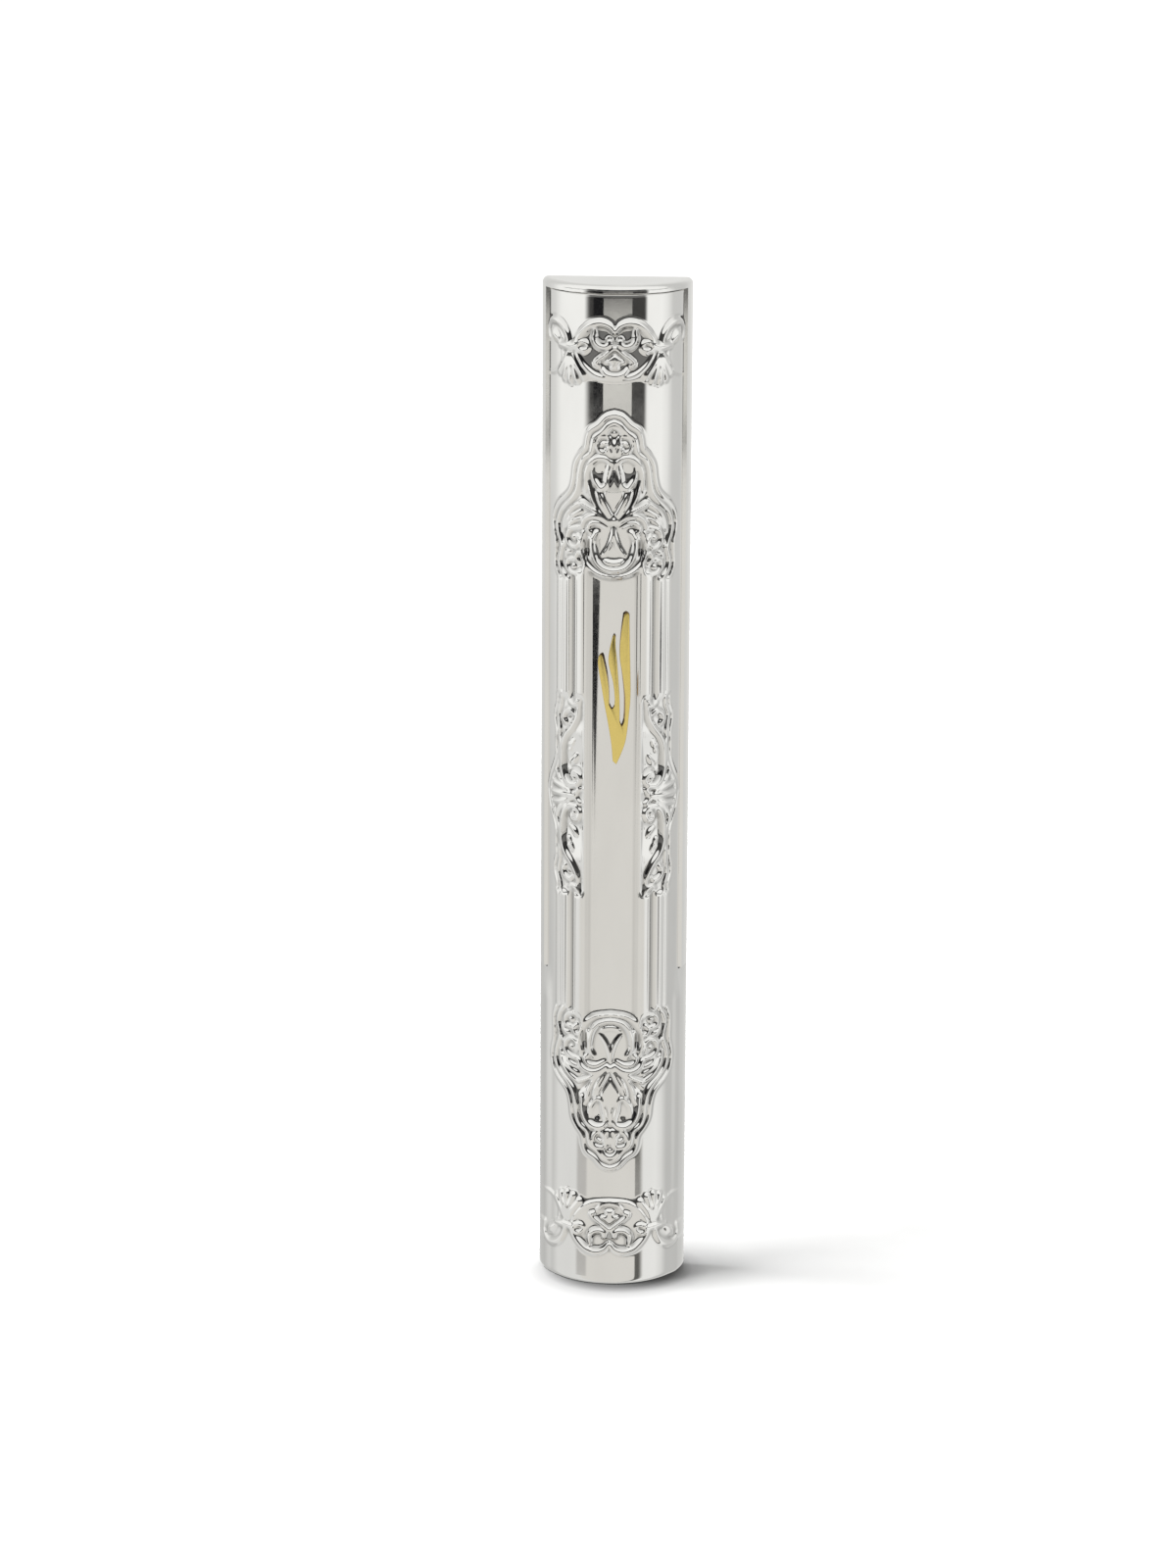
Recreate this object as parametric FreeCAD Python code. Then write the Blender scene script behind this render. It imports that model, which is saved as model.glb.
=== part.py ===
"""Slim half-round mezuzah case for a 12 cm parchment, in millimetres.

+Z is up and -Y is the embossed front. The origin is at the middle of the bottom. The case has two
chrome-plated mouldings: a front cover whose lowest part is a full-depth boot, and a back tray with
the top cap, which slides up out of the cover on rails and carries the rolled parchment.
"""
import FreeCAD
import Part
import math
import os

from FreeCAD import Vector

# Overall sizes
case_radius = 11.0         # outer half-round radius, so the case is twice this wide
end_room = 15.7            # from each end of the parchment to that end of the case
corner_radius = 0.6        # rounding of the two back corners
relief_height = 0.45       # the embossing stands this far above the cover's ground

# Walls
cover_wall = 1.2           # cover, from its ground to the inside
back_wall = 1.4            # flat back of the tray
flange_wall = 0.7          # side flanges of the tray
cap_thickness = 1.2
bottom_thickness = 1.2
cap_edge_radius = 0.9
bottom_edge_radius = 0.8

# The joint between cover and tray
flange_depth = 3.8         # how far forward the side flanges reach
shoulder_height = 48.0     # the flanges stop here, on the boot's shoulder
seam_gap = 0.2             # open seam under the cap, along the flanges and on the shoulder
slide_gap = 0.15           # play between sliding faces
slide_rib_thickness = 0.9
slide_rib_width = 2.0      # how far each rib of the cover reaches in from the wall
rail_rib_gap = 0.3         # from a rib's edge to the web of its rail
rail_web = 0.8
rail_foot_thickness = 0.8
rail_end_gap = 1.5         # rails stop this far above the cover's bottom wall
lip_height = 0.8           # locating lip under the cap
lip_wall = 0.8

# Parchment
roll_length = 120.0        # the parchment's height, a standard size
roll_thickness = 1.8       # of all the turns together
roll_front_gap = 0.32      # from the wrapped roll to the inside of the cover
sleeve_wall = 0.12
sleeve_overhang = 2.0      # clear film past each end of the roll
sleeve_gap = 0.02
cradle_gap = 0.1
cradle_rib_width = 1.0
cradle_rib_height = 2.2    # above the tray's back wall
stop_width = 1.2
stop_height = 3.6
stop_gap = 0.05
end_play = 2.5             # the roll can shift this far lengthwise
cradle_spacing = 45.0

# Fixing to a doorpost
screw_hole_radius = 1.6
pad_length = 30.0
pad_width = 12.0
pad_thickness = 0.8
pad_end_distance = 22.0    # from each end of the case to a pad's nearer end
liner_thickness = 0.15
liner_tab = 3.0            # the liner reaches past the pad, to be gripped

# Emblem and the smooth panel it stands on
panel_half_width = 3.94
panel_recess = 0.3         # below the cover's ground
panel_half_length = 36.0
emblem_rise = 5.0          # lowest point of the emblem, above the middle of the case
emblem_face_drop = 0.05    # the emblem's face lies this far inside the case's radius
emblem_gap = 0.02
pin_radius = 0.35
pin_hole_radius = 0.4
pin_places = ((0.55, 3.6), (0.45, 11.2))    # x, and height above the emblem's base

# Embossed mouldings
end_band_length = 10.0
rim_width = 1.1
frame_width = 1.3
frame_apex_distance = 18.3      # from each end of the case to the point of the frame
frame_half_width = 8.2
frame_shoulder_length = 24.0    # from the point to where the sides run straight
boss_half_length = 15.0
boss_half_width = 3.1
boss_x = 6.9

# Worked out from the sizes above
case_length = roll_length + 2 * end_room               # floor to the top of the cap
ground_radius = case_radius - relief_height
inner_radius = ground_radius - cover_wall
lap_radius = case_radius - flange_wall - slide_gap     # the cover's edge inside the flanges
liner_stack = pad_thickness + liner_thickness
back_y = (case_radius + liner_stack) / 2 - liner_stack
wall_y = back_y - back_wall                            # inner face of the tray's back wall
seam_y = back_y - flange_depth
cap_z = case_length - cap_thickness                    # underside of the cap
cover_top = cap_z - seam_gap
middle_z = case_length / 2
emblem_base = middle_z + emblem_rise
rib_back_y = wall_y - slide_gap
rib_front_y = rib_back_y - slide_rib_thickness
rail_foot_y = rib_front_y - slide_gap
tongue_half_width = math.sqrt(inner_radius ** 2 - back_wall ** 2) - slide_gap
rib_x = inner_radius - slide_rib_width
rail_x = rib_x - rail_rib_gap - rail_web               # inner face of each guide rail
sleeve_radius = (inner_radius - back_wall - cradle_gap - roll_front_gap) / 2
roll_radius = sleeve_radius - sleeve_wall - sleeve_gap
roll_y = wall_y - cradle_gap - sleeve_radius
sleeve_length = roll_length + 2 * sleeve_overhang
lower_stop_z = middle_z - (sleeve_length + end_play) / 2 - stop_gap
upper_stop_z = lower_stop_z + sleeve_length + end_play + 2 * stop_gap
sleeve_z = lower_stop_z + stop_gap
screw_end_distance = (bottom_thickness + lower_stop_z - stop_width) / 2
roll_z = sleeve_z + sleeve_overhang
wide = case_radius + 1                                 # past the case on every side

UP = Vector(0, 0, 1)


def box(x0, x1, y0, y1, z0, z1):
    return Part.makeBox(x1 - x0, y1 - y0, z1 - z0, Vector(x0, y0, z0))


def mirrored(shape):
    return shape.mirror(Vector(0, 0, 0), Vector(1, 0, 0))


def both_sides(shape):
    return shape.fuse(mirrored(shape))


def half_round(radius, z0, z1):
    """A half cylinder whose flat lies on the case's back plane."""
    solid = Part.makeCylinder(radius, z1 - z0, Vector(0, back_y, z0), UP, 180)
    solid.rotate(Vector(0, back_y, 0), UP, 180)
    return solid


def rounded_d(radius, z0, z1):
    """A half round with its two back corners rounded."""
    centre_x = math.sqrt((radius - corner_radius) ** 2 - corner_radius ** 2)
    centre_y = back_y - corner_radius
    reach = radius / (radius - corner_radius)
    side = Vector(centre_x * reach, back_y - corner_radius * reach, z0)
    turn = math.atan2(side.y - centre_y, side.x - centre_x)
    middle_turn = (turn + math.pi / 2) / 2
    corner_mid = Vector(centre_x + corner_radius * math.cos(middle_turn),
                        centre_y + corner_radius * math.sin(middle_turn), z0)
    flat = Vector(centre_x, back_y, z0)
    front = Vector(0, back_y - radius, z0)

    def left(point):
        return Vector(-point.x, point.y, point.z)

    edges = [Part.LineSegment(left(flat), flat).toShape(),
             Part.Arc(flat, corner_mid, side).toShape(),
             Part.Arc(side, front, left(side)).toShape(),
             Part.Arc(left(side), left(corner_mid), left(flat)).toShape()]
    return Part.Face(Part.Wire(edges)).extrude(UP * (z1 - z0))


def edges_at(solid, z):
    """The edges that lie wholly at one height."""
    return [edge for edge in solid.Edges
            if abs(edge.BoundBox.ZMin - z) < 1e-6 and abs(edge.BoundBox.ZMax - z) < 1e-6]


def smooth_edge(points):
    """One smooth edge through x, z points, on the plane y = 0."""
    curve = Part.BSplineCurve()
    curve.interpolate([Vector(x, 0, z) for x, z in points])
    return curve.toShape()


def straight_edge(first, last):
    return Part.LineSegment(Vector(first[0], 0, first[1]),
                            Vector(last[0], 0, last[1])).toShape()


def prism(edges):
    """A closed x, z outline, carried forward through the whole depth of the case."""
    face = Part.Face(Part.Wire(edges))
    face.translate(Vector(0, back_y, 0))
    return face.extrude(Vector(0, -2 * case_radius, 0))


def cover_zone():
    """The space in front of the seam, as far as the cover's outside reaches."""
    return box(-wide, wide, back_y - wide, seam_y - seam_gap, 0, cover_top)


def relief(shape):
    """The part of a prism that lies in the embossing, slightly rooted in the cover's ground."""
    root = relief_height / 4
    skin = half_round(case_radius, 0, cover_top).cut(
        half_round(ground_radius - root, 0, cover_top))
    return shape.common(skin).common(cover_zone())


def frame_outline(half_width, apex_distance):
    """The pointed frame round the ornament: straight sides and an ogee at each end."""
    straight_low = apex_distance + frame_shoulder_length
    straight_high = case_length - straight_low
    ogee = [(0, 0), (0.45, 0.17), (0.62, 0.42), (0.92, 0.68), (1, 1)]
    lower = [(half_width * x, apex_distance + frame_shoulder_length * z) for x, z in ogee]
    upper = [(x, case_length - z) for x, z in lower]
    edges = [smooth_edge(lower), smooth_edge(upper),
             smooth_edge([(-x, z) for x, z in lower]), smooth_edge([(-x, z) for x, z in upper])]
    for x in (half_width, -half_width):
        edges.append(straight_edge((x, straight_low), (x, straight_high)))
    return Part.__sortEdges__(edges)


def embossing():
    """Rims, end bands, the pointed frame and the two side bosses."""
    low_edges = (bottom_thickness + rim_width, bottom_thickness + rim_width + end_band_length)
    parts = []
    for edge in low_edges:
        for z in (edge, case_length - edge):
            parts.append(box(-wide, wide, back_y - wide, back_y, z - rim_width / 2, z + rim_width / 2))
    outer = prism(frame_outline(frame_half_width, frame_apex_distance))
    inner = prism(frame_outline(frame_half_width - frame_width, frame_apex_distance + 2 * frame_width))
    parts.append(outer.cut(inner))
    for side in (1, -1):
        boss = Part.Ellipse(Vector(0, 0, 0), boss_half_length, boss_half_width).toShape()
        boss.rotate(Vector(0, 0, 0), Vector(1, 0, 0), 90)
        boss.rotate(Vector(0, 0, 0), Vector(0, 1, 0), 90)
        boss.translate(Vector(side * boss_x, 0, middle_z))
        parts.append(prism([boss]))
    side_rim = box(-wide, wide, seam_y - seam_gap - rim_width, back_y, 0, cover_top)
    raised = relief(side_rim)
    for part in parts:
        raised = raised.fuse(relief(part))
    return raised


def front_cover():
    """The embossed cover: half round above the shoulder, full depth below it."""
    front = half_round(ground_radius, 0, cover_top).common(cover_zone())
    lap = half_round(lap_radius, 0, cover_top).common(
        box(-wide, wide, back_y - wide, rib_back_y, 0, cover_top))
    boot = rounded_d(case_radius, 0, shoulder_height - seam_gap).common(
        box(-wide, wide, seam_y - seam_gap, back_y, 0, shoulder_height))
    body = front.fuse(embossing()).fuse(lap).fuse(boot)
    body = body.cut(half_round(inner_radius, bottom_thickness, cover_top + 1))
    rib = box(rib_x, case_radius, rib_front_y, rib_back_y, bottom_thickness / 2, cover_top)
    rib = rib.common(half_round((inner_radius + lap_radius) / 2, 0, cover_top))
    body = body.fuse(both_sides(rib))
    floor = rounded_d(case_radius, 0, bottom_thickness)
    floor = floor.makeFillet(bottom_edge_radius, edges_at(floor, 0))
    keep = floor.fuse(box(-wide, wide, back_y - wide, back_y + 1, bottom_edge_radius, case_length))
    body = body.fuse(floor).common(keep)
    panel = box(-panel_half_width, panel_half_width, back_y - wide, back_y,
                middle_z - panel_half_length, middle_z + panel_half_length)
    body = body.cut(panel.cut(half_round(ground_radius - panel_recess, 0, case_length)))
    for x, height in pin_places:
        body = body.cut(Part.makeCylinder(pin_hole_radius, case_radius,
                                          Vector(x, back_y, emblem_base + height),
                                          Vector(0, -1, 0)))
    return body.removeSplitter()


def cradle(z):
    """A cross rib of the tray with a round seat for the parchment."""
    rib = box(-rail_x, rail_x, wall_y - cradle_rib_height, wall_y + back_wall / 2,
              z - cradle_rib_width / 2, z + cradle_rib_width / 2)
    return rib.cut(Part.makeCylinder(sleeve_radius + cradle_gap, 2 * cradle_rib_width,
                                     Vector(0, roll_y, z - cradle_rib_width), UP))


def end_stop(z0, z1):
    """A cross wall of the tray that holds one end of the parchment."""
    return box(-rail_x, rail_x, wall_y - stop_height, wall_y + back_wall / 2, z0, z1)


def back_tray():
    """The back wall, side flanges, top cap, guide rails, cradles and end stops in one moulding."""
    body = rounded_d(case_radius, shoulder_height, case_length).common(
        box(-wide, wide, seam_y, back_y, shoulder_height, case_length))
    hollow = half_round(case_radius - flange_wall, shoulder_height - 1, case_length)
    body = body.cut(hollow.common(box(-wide, wide, back_y - wide, wall_y, 0, case_length)))
    tongue = box(-tongue_half_width, tongue_half_width, wall_y, back_y,
                 bottom_thickness + slide_gap, shoulder_height + 1)
    cap = rounded_d(case_radius, cap_z, case_length)
    cap = cap.makeFillet(cap_edge_radius, edges_at(cap, case_length))
    lip_radius = inner_radius - slide_gap
    lip = half_round(lip_radius, cap_z - lip_height, cap_z).cut(
        half_round(lip_radius - lip_wall, cap_z - lip_height, cap_z))
    lip = lip.common(box(-wide, wide, back_y - wide, seam_y, 0, case_length))
    keep = cap.fuse(box(-wide, wide, back_y - wide, back_y, 0, cap_z))
    body = body.fuse(tongue).fuse(cap).common(keep).fuse(lip)
    rail_z = bottom_thickness + rail_end_gap
    web = box(rail_x, rail_x + rail_web, rail_foot_y - rail_foot_thickness, wall_y + back_wall / 2,
              rail_z, cap_z + cap_thickness / 2)
    foot_depth = back_y - rail_foot_y + rail_foot_thickness
    foot_end = math.sqrt(inner_radius ** 2 - foot_depth ** 2) - 2 * slide_gap
    foot = box(rail_x, foot_end, rail_foot_y - rail_foot_thickness, rail_foot_y,
               rail_z, cap_z + cap_thickness / 2)
    body = body.fuse(both_sides(web.fuse(foot)))
    for z in (middle_z - cradle_spacing, middle_z, middle_z + cradle_spacing):
        body = body.fuse(cradle(z))
    body = body.fuse(end_stop(lower_stop_z - stop_width, lower_stop_z))
    body = body.fuse(end_stop(upper_stop_z, upper_stop_z + stop_width))
    for z in (screw_end_distance, case_length - screw_end_distance):
        body = body.cut(Part.makeCylinder(screw_hole_radius, 3 * back_wall,
                                          Vector(0, wall_y - back_wall, z),
                                          Vector(0, 1, 0)))
    return body.removeSplitter()


def emblem_outline():
    """Three flame-like tongues that rise from one blunt point, as x and height above the base."""
    stretches = [
        [(0.59, 0), (1.29, 1.62), (1.98, 3.79), (2.42, 7.68), (2.61, 10.93), (2.48, 17.23), (2.38, 22.36)],
        [(2.38, 22.36), (2.15, 22.7), (1.61, 22.5)],
        [(1.61, 22.5), (1.22, 19.89), (1.01, 17.53), (1.08, 15.56), (1.41, 13.59), (1.8, 10.39),
         (1.83, 7.98), (1.72, 6.5)],
        [(1.72, 6.5), (1.37, 5.76), (1.06, 6.5)],
        [(1.06, 6.5), (1, 9.95), (0.81, 12.85), (0.6, 15.56), (0.4, 17.53), (0.39, 19.2)],
        [(0.39, 19.2), (0.16, 19.45), (-0.09, 19.11)],
        [(-0.09, 19.11), (-0.49, 17.23), (-0.65, 15.56), (-0.4, 14.08), (0.04, 12.36), (0.3, 10.14),
         (0.26, 8.81)],
        [(0.26, 8.81), (-0.13, 8.32), (-0.52, 8.96)],
        [(-0.52, 8.96), (-0.54, 10.64), (-0.69, 12.36), (-1, 14.08), (-1.5, 16.15)],
        [(-1.5, 16.15), (-1.79, 16.5), (-2.11, 16.15)],
        [(-2.11, 16.15), (-2.19, 15.26), (-2.02, 13.79), (-1.68, 11.87), (-1.19, 8.96), (-0.68, 6.25),
         (-0.16, 3.05), (0.1, 0)],
    ]
    edges = [smooth_edge([(x, emblem_base + z) for x, z in points]) for points in stretches]
    edges.append(straight_edge((0.1, emblem_base), (0.59, emblem_base)))
    return Part.__sortEdges__(edges)


def gold_shin():
    """The emblem plate, seated on the curved panel, with two locating pins."""
    seat_radius = ground_radius - panel_recess + emblem_gap
    face_radius = case_radius - emblem_face_drop
    plate = prism(emblem_outline()).cut(half_round(seat_radius, 0, case_length))
    plate = plate.common(half_round(face_radius, 0, case_length))
    for x, height in pin_places:
        pin = Part.makeCylinder(pin_radius, face_radius - inner_radius - relief_height,
                                Vector(x, back_y - inner_radius - emblem_gap,
                                       emblem_base + height), Vector(0, -1, 0))
        plate = plate.fuse(pin)
    return plate.removeSplitter()


def tube(outer, bore, z0, length):
    centre = Vector(0, roll_y, z0)
    return Part.makeCylinder(outer, length, centre, UP).cut(Part.makeCylinder(bore, length, centre, UP))


def parchment_scroll():
    return tube(roll_radius, roll_radius - roll_thickness, roll_z, roll_length)


def scroll_sleeve():
    return tube(sleeve_radius, roll_radius + sleeve_gap, sleeve_z, sleeve_length)


def tape(z0, tab, y0, thickness):
    """A strip on the back with rounded corners, longer by a grip tab at its lower end."""
    strip = box(-pad_width / 2, pad_width / 2, y0, y0 + thickness, z0 - tab, z0 + pad_length)
    corners = [edge for edge in strip.Edges
               if abs(edge.BoundBox.YLength - thickness) < 1e-4
               and edge.BoundBox.XLength < 1e-4 and edge.BoundBox.ZLength < 1e-4]
    return strip.makeFillet(pad_width / 8, corners)


def main():
    os.makedirs("parts", exist_ok=True)
    lower_pad_z = pad_end_distance
    upper_pad_z = case_length - pad_end_distance - pad_length
    shapes = {
        "back_tray": back_tray(),
        "front_cover": front_cover(),
        "gold_shin": gold_shin(),
        "parchment_scroll": parchment_scroll(),
        "scroll_sleeve": scroll_sleeve(),
        "upper_tape_pad": tape(upper_pad_z, 0, back_y, pad_thickness),
        "lower_tape_pad": tape(lower_pad_z, 0, back_y, pad_thickness),
        "upper_tape_liner": tape(upper_pad_z, liner_tab, back_y + pad_thickness, liner_thickness),
        "lower_tape_liner": tape(lower_pad_z, liner_tab, back_y + pad_thickness, liner_thickness),
    }
    for node, shape in shapes.items():
        shape.exportStep("parts/" + node + ".step")
        print(node, len(shape.Solids), shape.isValid(), round(shape.Volume, 2), shape.BoundBox)


main()
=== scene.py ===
"""Looks of a slim half-round mezuzah case: embossed chrome cover, chrome tray, gold emblem, scroll.

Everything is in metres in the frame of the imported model: +Z up, -Y the embossed front. Sizes that
describe the case are given in millimetres in the classes below and scaled when a mesh is made.
"""

import logging
import math
from dataclasses import dataclass, field
from enum import Enum
from typing import Dict, Iterable, List, Sequence, Tuple, Union

import bmesh
import bpy
import numpy as np
from mathutils import Matrix, Vector


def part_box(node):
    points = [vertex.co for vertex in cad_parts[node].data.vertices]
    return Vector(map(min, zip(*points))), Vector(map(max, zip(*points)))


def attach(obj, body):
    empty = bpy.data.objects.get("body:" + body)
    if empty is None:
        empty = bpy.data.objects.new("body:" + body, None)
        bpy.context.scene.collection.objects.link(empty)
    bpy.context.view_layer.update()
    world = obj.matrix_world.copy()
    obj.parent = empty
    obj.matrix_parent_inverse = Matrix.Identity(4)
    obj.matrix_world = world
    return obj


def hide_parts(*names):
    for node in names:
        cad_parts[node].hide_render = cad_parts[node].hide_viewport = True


LOG = logging.getLogger("mezuzah_case")
MM = 0.001
WHOLE = (1.0, 1.0, 1.0)

Point2 = Tuple[float, float]
Point3 = Tuple[float, float, float]
Colour = Tuple[float, float, float]
Face = Tuple[int, ...]
Value = Union[bpy.types.NodeSocket, float, Sequence[float]]


class Slot(Enum):
    """Names of two looks of the new pieces, the cover's chrome and the emblem's gold."""

    COVER_CHROME = "cover_chrome"
    EMBLEM_GOLD = "emblem_gold"


class Side(Enum):
    """The two sides of the case, and which way each lies along X."""

    RIGHT = 1
    LEFT = -1


class Level(Enum):
    """The two places of a tape on the tray's back."""

    UPPER = "upper"
    LOWER = "lower"


# ---------------------------------------------------------------- node trees and finishes


class NodeTree:
    """A material's or a world's node tree, with short calls that add and join nodes.

    A value in these calls is either a constant or the output of another node.
    """

    def __init__(self, tree: bpy.types.NodeTree) -> None:
        """Keeps the tree's nodes and links.

        Args:
            tree: the tree to work on.
        """
        self.nodes, self.links = tree.nodes, tree.links

    def feed(self, socket: bpy.types.NodeSocket, value: Value) -> None:
        """Links an output to an input, or sets a constant on it.

        Args:
            socket: the input.
            value: what it gets.
        """
        if isinstance(value, bpy.types.NodeSocket):
            self.links.new(value, socket)
        elif socket.type == "RGBA":
            socket.default_value = (*value[:3], 1.0)
        else:
            socket.default_value = value

    def add(self, kind: str, **values: object) -> bpy.types.Node:
        """Adds a node.

        Args:
            kind: the node's type name.
            values: socket names (with _ for spaces) or node properties, and their values.

        Returns:
            The new node.
        """
        node = self.nodes.new(kind)
        for key, value in values.items():
            socket = node.inputs.get(key.replace("_", " "))
            if socket is None:
                setattr(node, key, value)
            else:
                self.feed(socket, value)
        return node

    def math(self, operation: str, first: Value, second: Value = 0.0) -> bpy.types.NodeSocket:
        """Does arithmetic on two numbers.

        Args:
            operation: the math node's operation.
            first: the first number.
            second: the second number, where the operation takes one.

        Returns:
            The result.
        """
        node = self.add("ShaderNodeMath", operation=operation)
        self.feed(node.inputs[0], first)
        self.feed(node.inputs[1], second)
        return node.outputs[0]

    def vector(self, operation: str, first: Value, second: Value = (0.0, 0.0, 0.0)
               ) -> bpy.types.NodeSocket:
        """Does arithmetic on two vectors or colours.

        Args:
            operation: the vector math node's operation.
            first: the first vector.
            second: the second vector, where the operation takes one.

        Returns:
            The resulting vector, or the length where that is the operation.
        """
        node = self.add("ShaderNodeVectorMath", operation=operation)
        self.feed(node.inputs[0], first)
        self.feed(node.inputs[1], second)
        return node.outputs["Value" if operation == "LENGTH" else "Vector"]

    def mix(self, below: Value, above: Value, factor: Value, blend: str = "MIX") -> bpy.types.NodeSocket:
        """Lays one colour over another.

        Args:
            below: the colour at factor 0.
            above: the colour laid on it.
            factor: how much of it is laid on.
            blend: the kind of blend.

        Returns:
            The resulting colour.
        """
        node = self.add("ShaderNodeMix", data_type="RGBA", blend_type=blend, Factor=factor)
        self.feed(node.inputs[6], below)
        self.feed(node.inputs[7], above)
        return node.outputs[2]

    def noise(self, scale: float, detail: float = 3.0, stretch: Point3 = WHOLE) -> bpy.types.NodeSocket:
        """A noise over the object's own coordinates.

        Args:
            scale: noise scale per metre.
            detail: number of octaves.
            stretch: how much each axis is scaled first.

        Returns:
            The noise's value, from 0 to 1.
        """
        place = self.add("ShaderNodeTexCoord").outputs["Object"]
        mapped = self.add("ShaderNodeMapping", Vector=place, Scale=stretch).outputs["Vector"]
        return self.add("ShaderNodeTexNoise", Vector=mapped, Scale=scale, Detail=detail).outputs["Fac"]

    def ramp(self, source: Value, *stops: Tuple[float, Colour]) -> bpy.types.NodeSocket:
        """Turns a value into a colour.

        Args:
            source: the value, from 0 to 1.
            stops: places on the ramp, in rising order, and their colours.

        Returns:
            The colour.
        """
        node = self.add("ShaderNodeValToRGB", Fac=source)
        elements = node.color_ramp.elements
        while len(elements) < len(stops):
            elements.new(1.0)
        for element, (place, colour) in zip(elements, stops):
            element.position = place
            element.color = (*colour, 1.0)
        return node.outputs["Color"]

    def remap(self, source: Value, low: float, high: float, start: float = 0.0, end: float = 1.0,
              kind: str = "LINEAR") -> bpy.types.NodeSocket:
        """Spreads one range of values over another.

        Args:
            source: the value.
            low: the result at the range's start.
            high: the result at the range's end.
            start: where the range starts.
            end: where the range ends.
            kind: the way from one to the other.

        Returns:
            The new value.
        """
        return self.add("ShaderNodeMapRange", interpolation_type=kind, Value=source, From_Min=start,
                        From_Max=end, To_Min=low, To_Max=high).outputs["Result"]

    def bump(self, source: Value, height: float, **below: bpy.types.NodeSocket) -> bpy.types.NodeSocket:
        """Bumps the surface by a value.

        Args:
            source: the value, from 0 to 1.
            height: the height at 1, in metres.
            below: Normal, where this bump lies on another one.

        Returns:
            The bumped normal.
        """
        return self.add("ShaderNodeBump", Distance=height, Height=source, **below).outputs["Normal"]


class MaterialTree(NodeTree):
    """A new material's node tree with one Principled shader."""

    def __init__(self, name: str) -> None:
        """Makes the material.

        Args:
            name: the material's name.
        """
        self.material = bpy.data.materials.new(name)
        self.material.use_nodes = True
        super().__init__(self.material.node_tree)

    def shade(self, **values: Value) -> bpy.types.Material:
        """Sets the shader's sockets.

        Args:
            values: socket names (with _ for spaces) and their values.

        Returns:
            The finished material.
        """
        for key, value in values.items():
            self.feed(self.nodes["Principled BSDF"].inputs[key.replace("_", " ")], value)
        return self.material


@dataclass(frozen=True)
class PlatedFinish:
    """Bright metal plating on moulded plastic, with a faint unevenness and thin haze."""

    name: str = "chrome_plating"
    low: Colour = (0.86, 0.855, 0.845)
    high: Colour = (0.9, 0.895, 0.885)
    # painted shade: dark colour laid on the relief's hollows and steep slopes
    hollow: Colour = (0.17, 0.168, 0.162)
    roughness: Tuple[float, float] = (0.03, 0.07)
    ripple: float = 0.0000006
    grain: float = 0.0000001

    def material(self) -> bpy.types.Material:
        """Builds the plating, darkened with painted shade where a mesh's hollow attribute is high.

        Returns:
            The node material.
        """
        tree = MaterialTree(self.name)
        plating = tree.ramp(tree.noise(220.0, 4.0, (1.0, 1.0, 0.35)), (0.3, self.low), (0.7, self.high))
        # painted shade, read from the mesh's hollow attribute
        hollow = tree.add("ShaderNodeAttribute", attribute_name="hollow").outputs["Fac"]
        ripple = tree.bump(tree.noise(160.0, 1.0), self.ripple)
        return tree.shade(
            Metallic=1.0, Base_Color=tree.mix(plating, self.hollow, hollow),
            Roughness=tree.remap(tree.noise(900.0, 2.0), *self.roughness),
            Normal=tree.bump(tree.noise(2600.0, 2.0), self.grain, Normal=ripple))


@dataclass(frozen=True)
class GoldFinish:
    """Warm gold plating with painted shade on its flanks.

    A place is on the flanks or on the face by how far its normal points to the front; the flanks get the
    painted shade.
    """

    name: str = "gold_plating"
    face: Colour = (0.94, 0.75, 0.25)
    # painted shade: dark brown on the bevels and sides, standing in for the dark surroundings they reflect
    flank_shade: Colour = (0.36, 0.21, 0.05)
    wear: float = 0.97
    turn: Tuple[float, float] = (-0.7, -0.96)

    def material(self) -> bpy.types.Material:
        """Builds the gold.

        Returns:
            The node material.
        """
        tree = MaterialTree(self.name)
        normal = tree.add("ShaderNodeTexCoord").outputs["Normal"]
        forward = tree.add("ShaderNodeSeparateXYZ", Vector=normal).outputs["Y"]
        worn = tuple(self.wear * c for c in self.face)
        face = tree.ramp(tree.noise(500.0), (0.3, worn), (0.7, self.face))
        # the flanks get the painted shade, the face keeps the gold
        return tree.shade(
            Metallic=1.0, Base_Color=tree.mix(self.flank_shade, face, tree.remap(forward, 0.0, 1.0, *self.turn)),
            Roughness=tree.remap(tree.noise(900.0), 0.1, 0.18),
            Normal=tree.bump(tree.noise(1500.0, 2.0), 0.0000006))


@dataclass(frozen=True)
class ParchmentFinish:
    """Matt cream parchment with a soft mottle and fine hair pores."""

    name: str = "parchment_skin"
    low: Colour = (0.44, 0.33, 0.18)
    high: Colour = (0.60, 0.50, 0.32)

    def material(self) -> bpy.types.Material:
        """Builds the parchment.

        Returns:
            The node material.
        """
        tree = MaterialTree(self.name)
        mottle = tree.noise(260.0, 5.0)
        wave = tree.bump(tree.noise(420.0), 0.00002)
        return tree.shade(
            Base_Color=tree.ramp(mottle, (0.3, self.low), (0.7, self.high)), Sheen_Weight=0.15,
            Roughness=tree.remap(mottle, 0.62, 0.82),
            Normal=tree.bump(tree.noise(5200.0, 2.0), 0.000006, Normal=wave))


@dataclass(frozen=True)
class FilmFinish:
    """Clear thin film with faint creases."""

    name: str = "clear_wrap"
    tint: Colour = (0.93, 0.95, 0.96)

    def material(self) -> bpy.types.Material:
        """Builds the film.

        Returns:
            The node material.
        """
        tree = MaterialTree(self.name)
        crease = tree.noise(500.0, 3.0, (1.0, 1.0, 0.15))
        return tree.shade(Base_Color=self.tint, IOR=1.48, Alpha=0.22,
                          Roughness=tree.remap(crease, 0.05, 0.22), Normal=tree.bump(crease, 0.00006))


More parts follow.
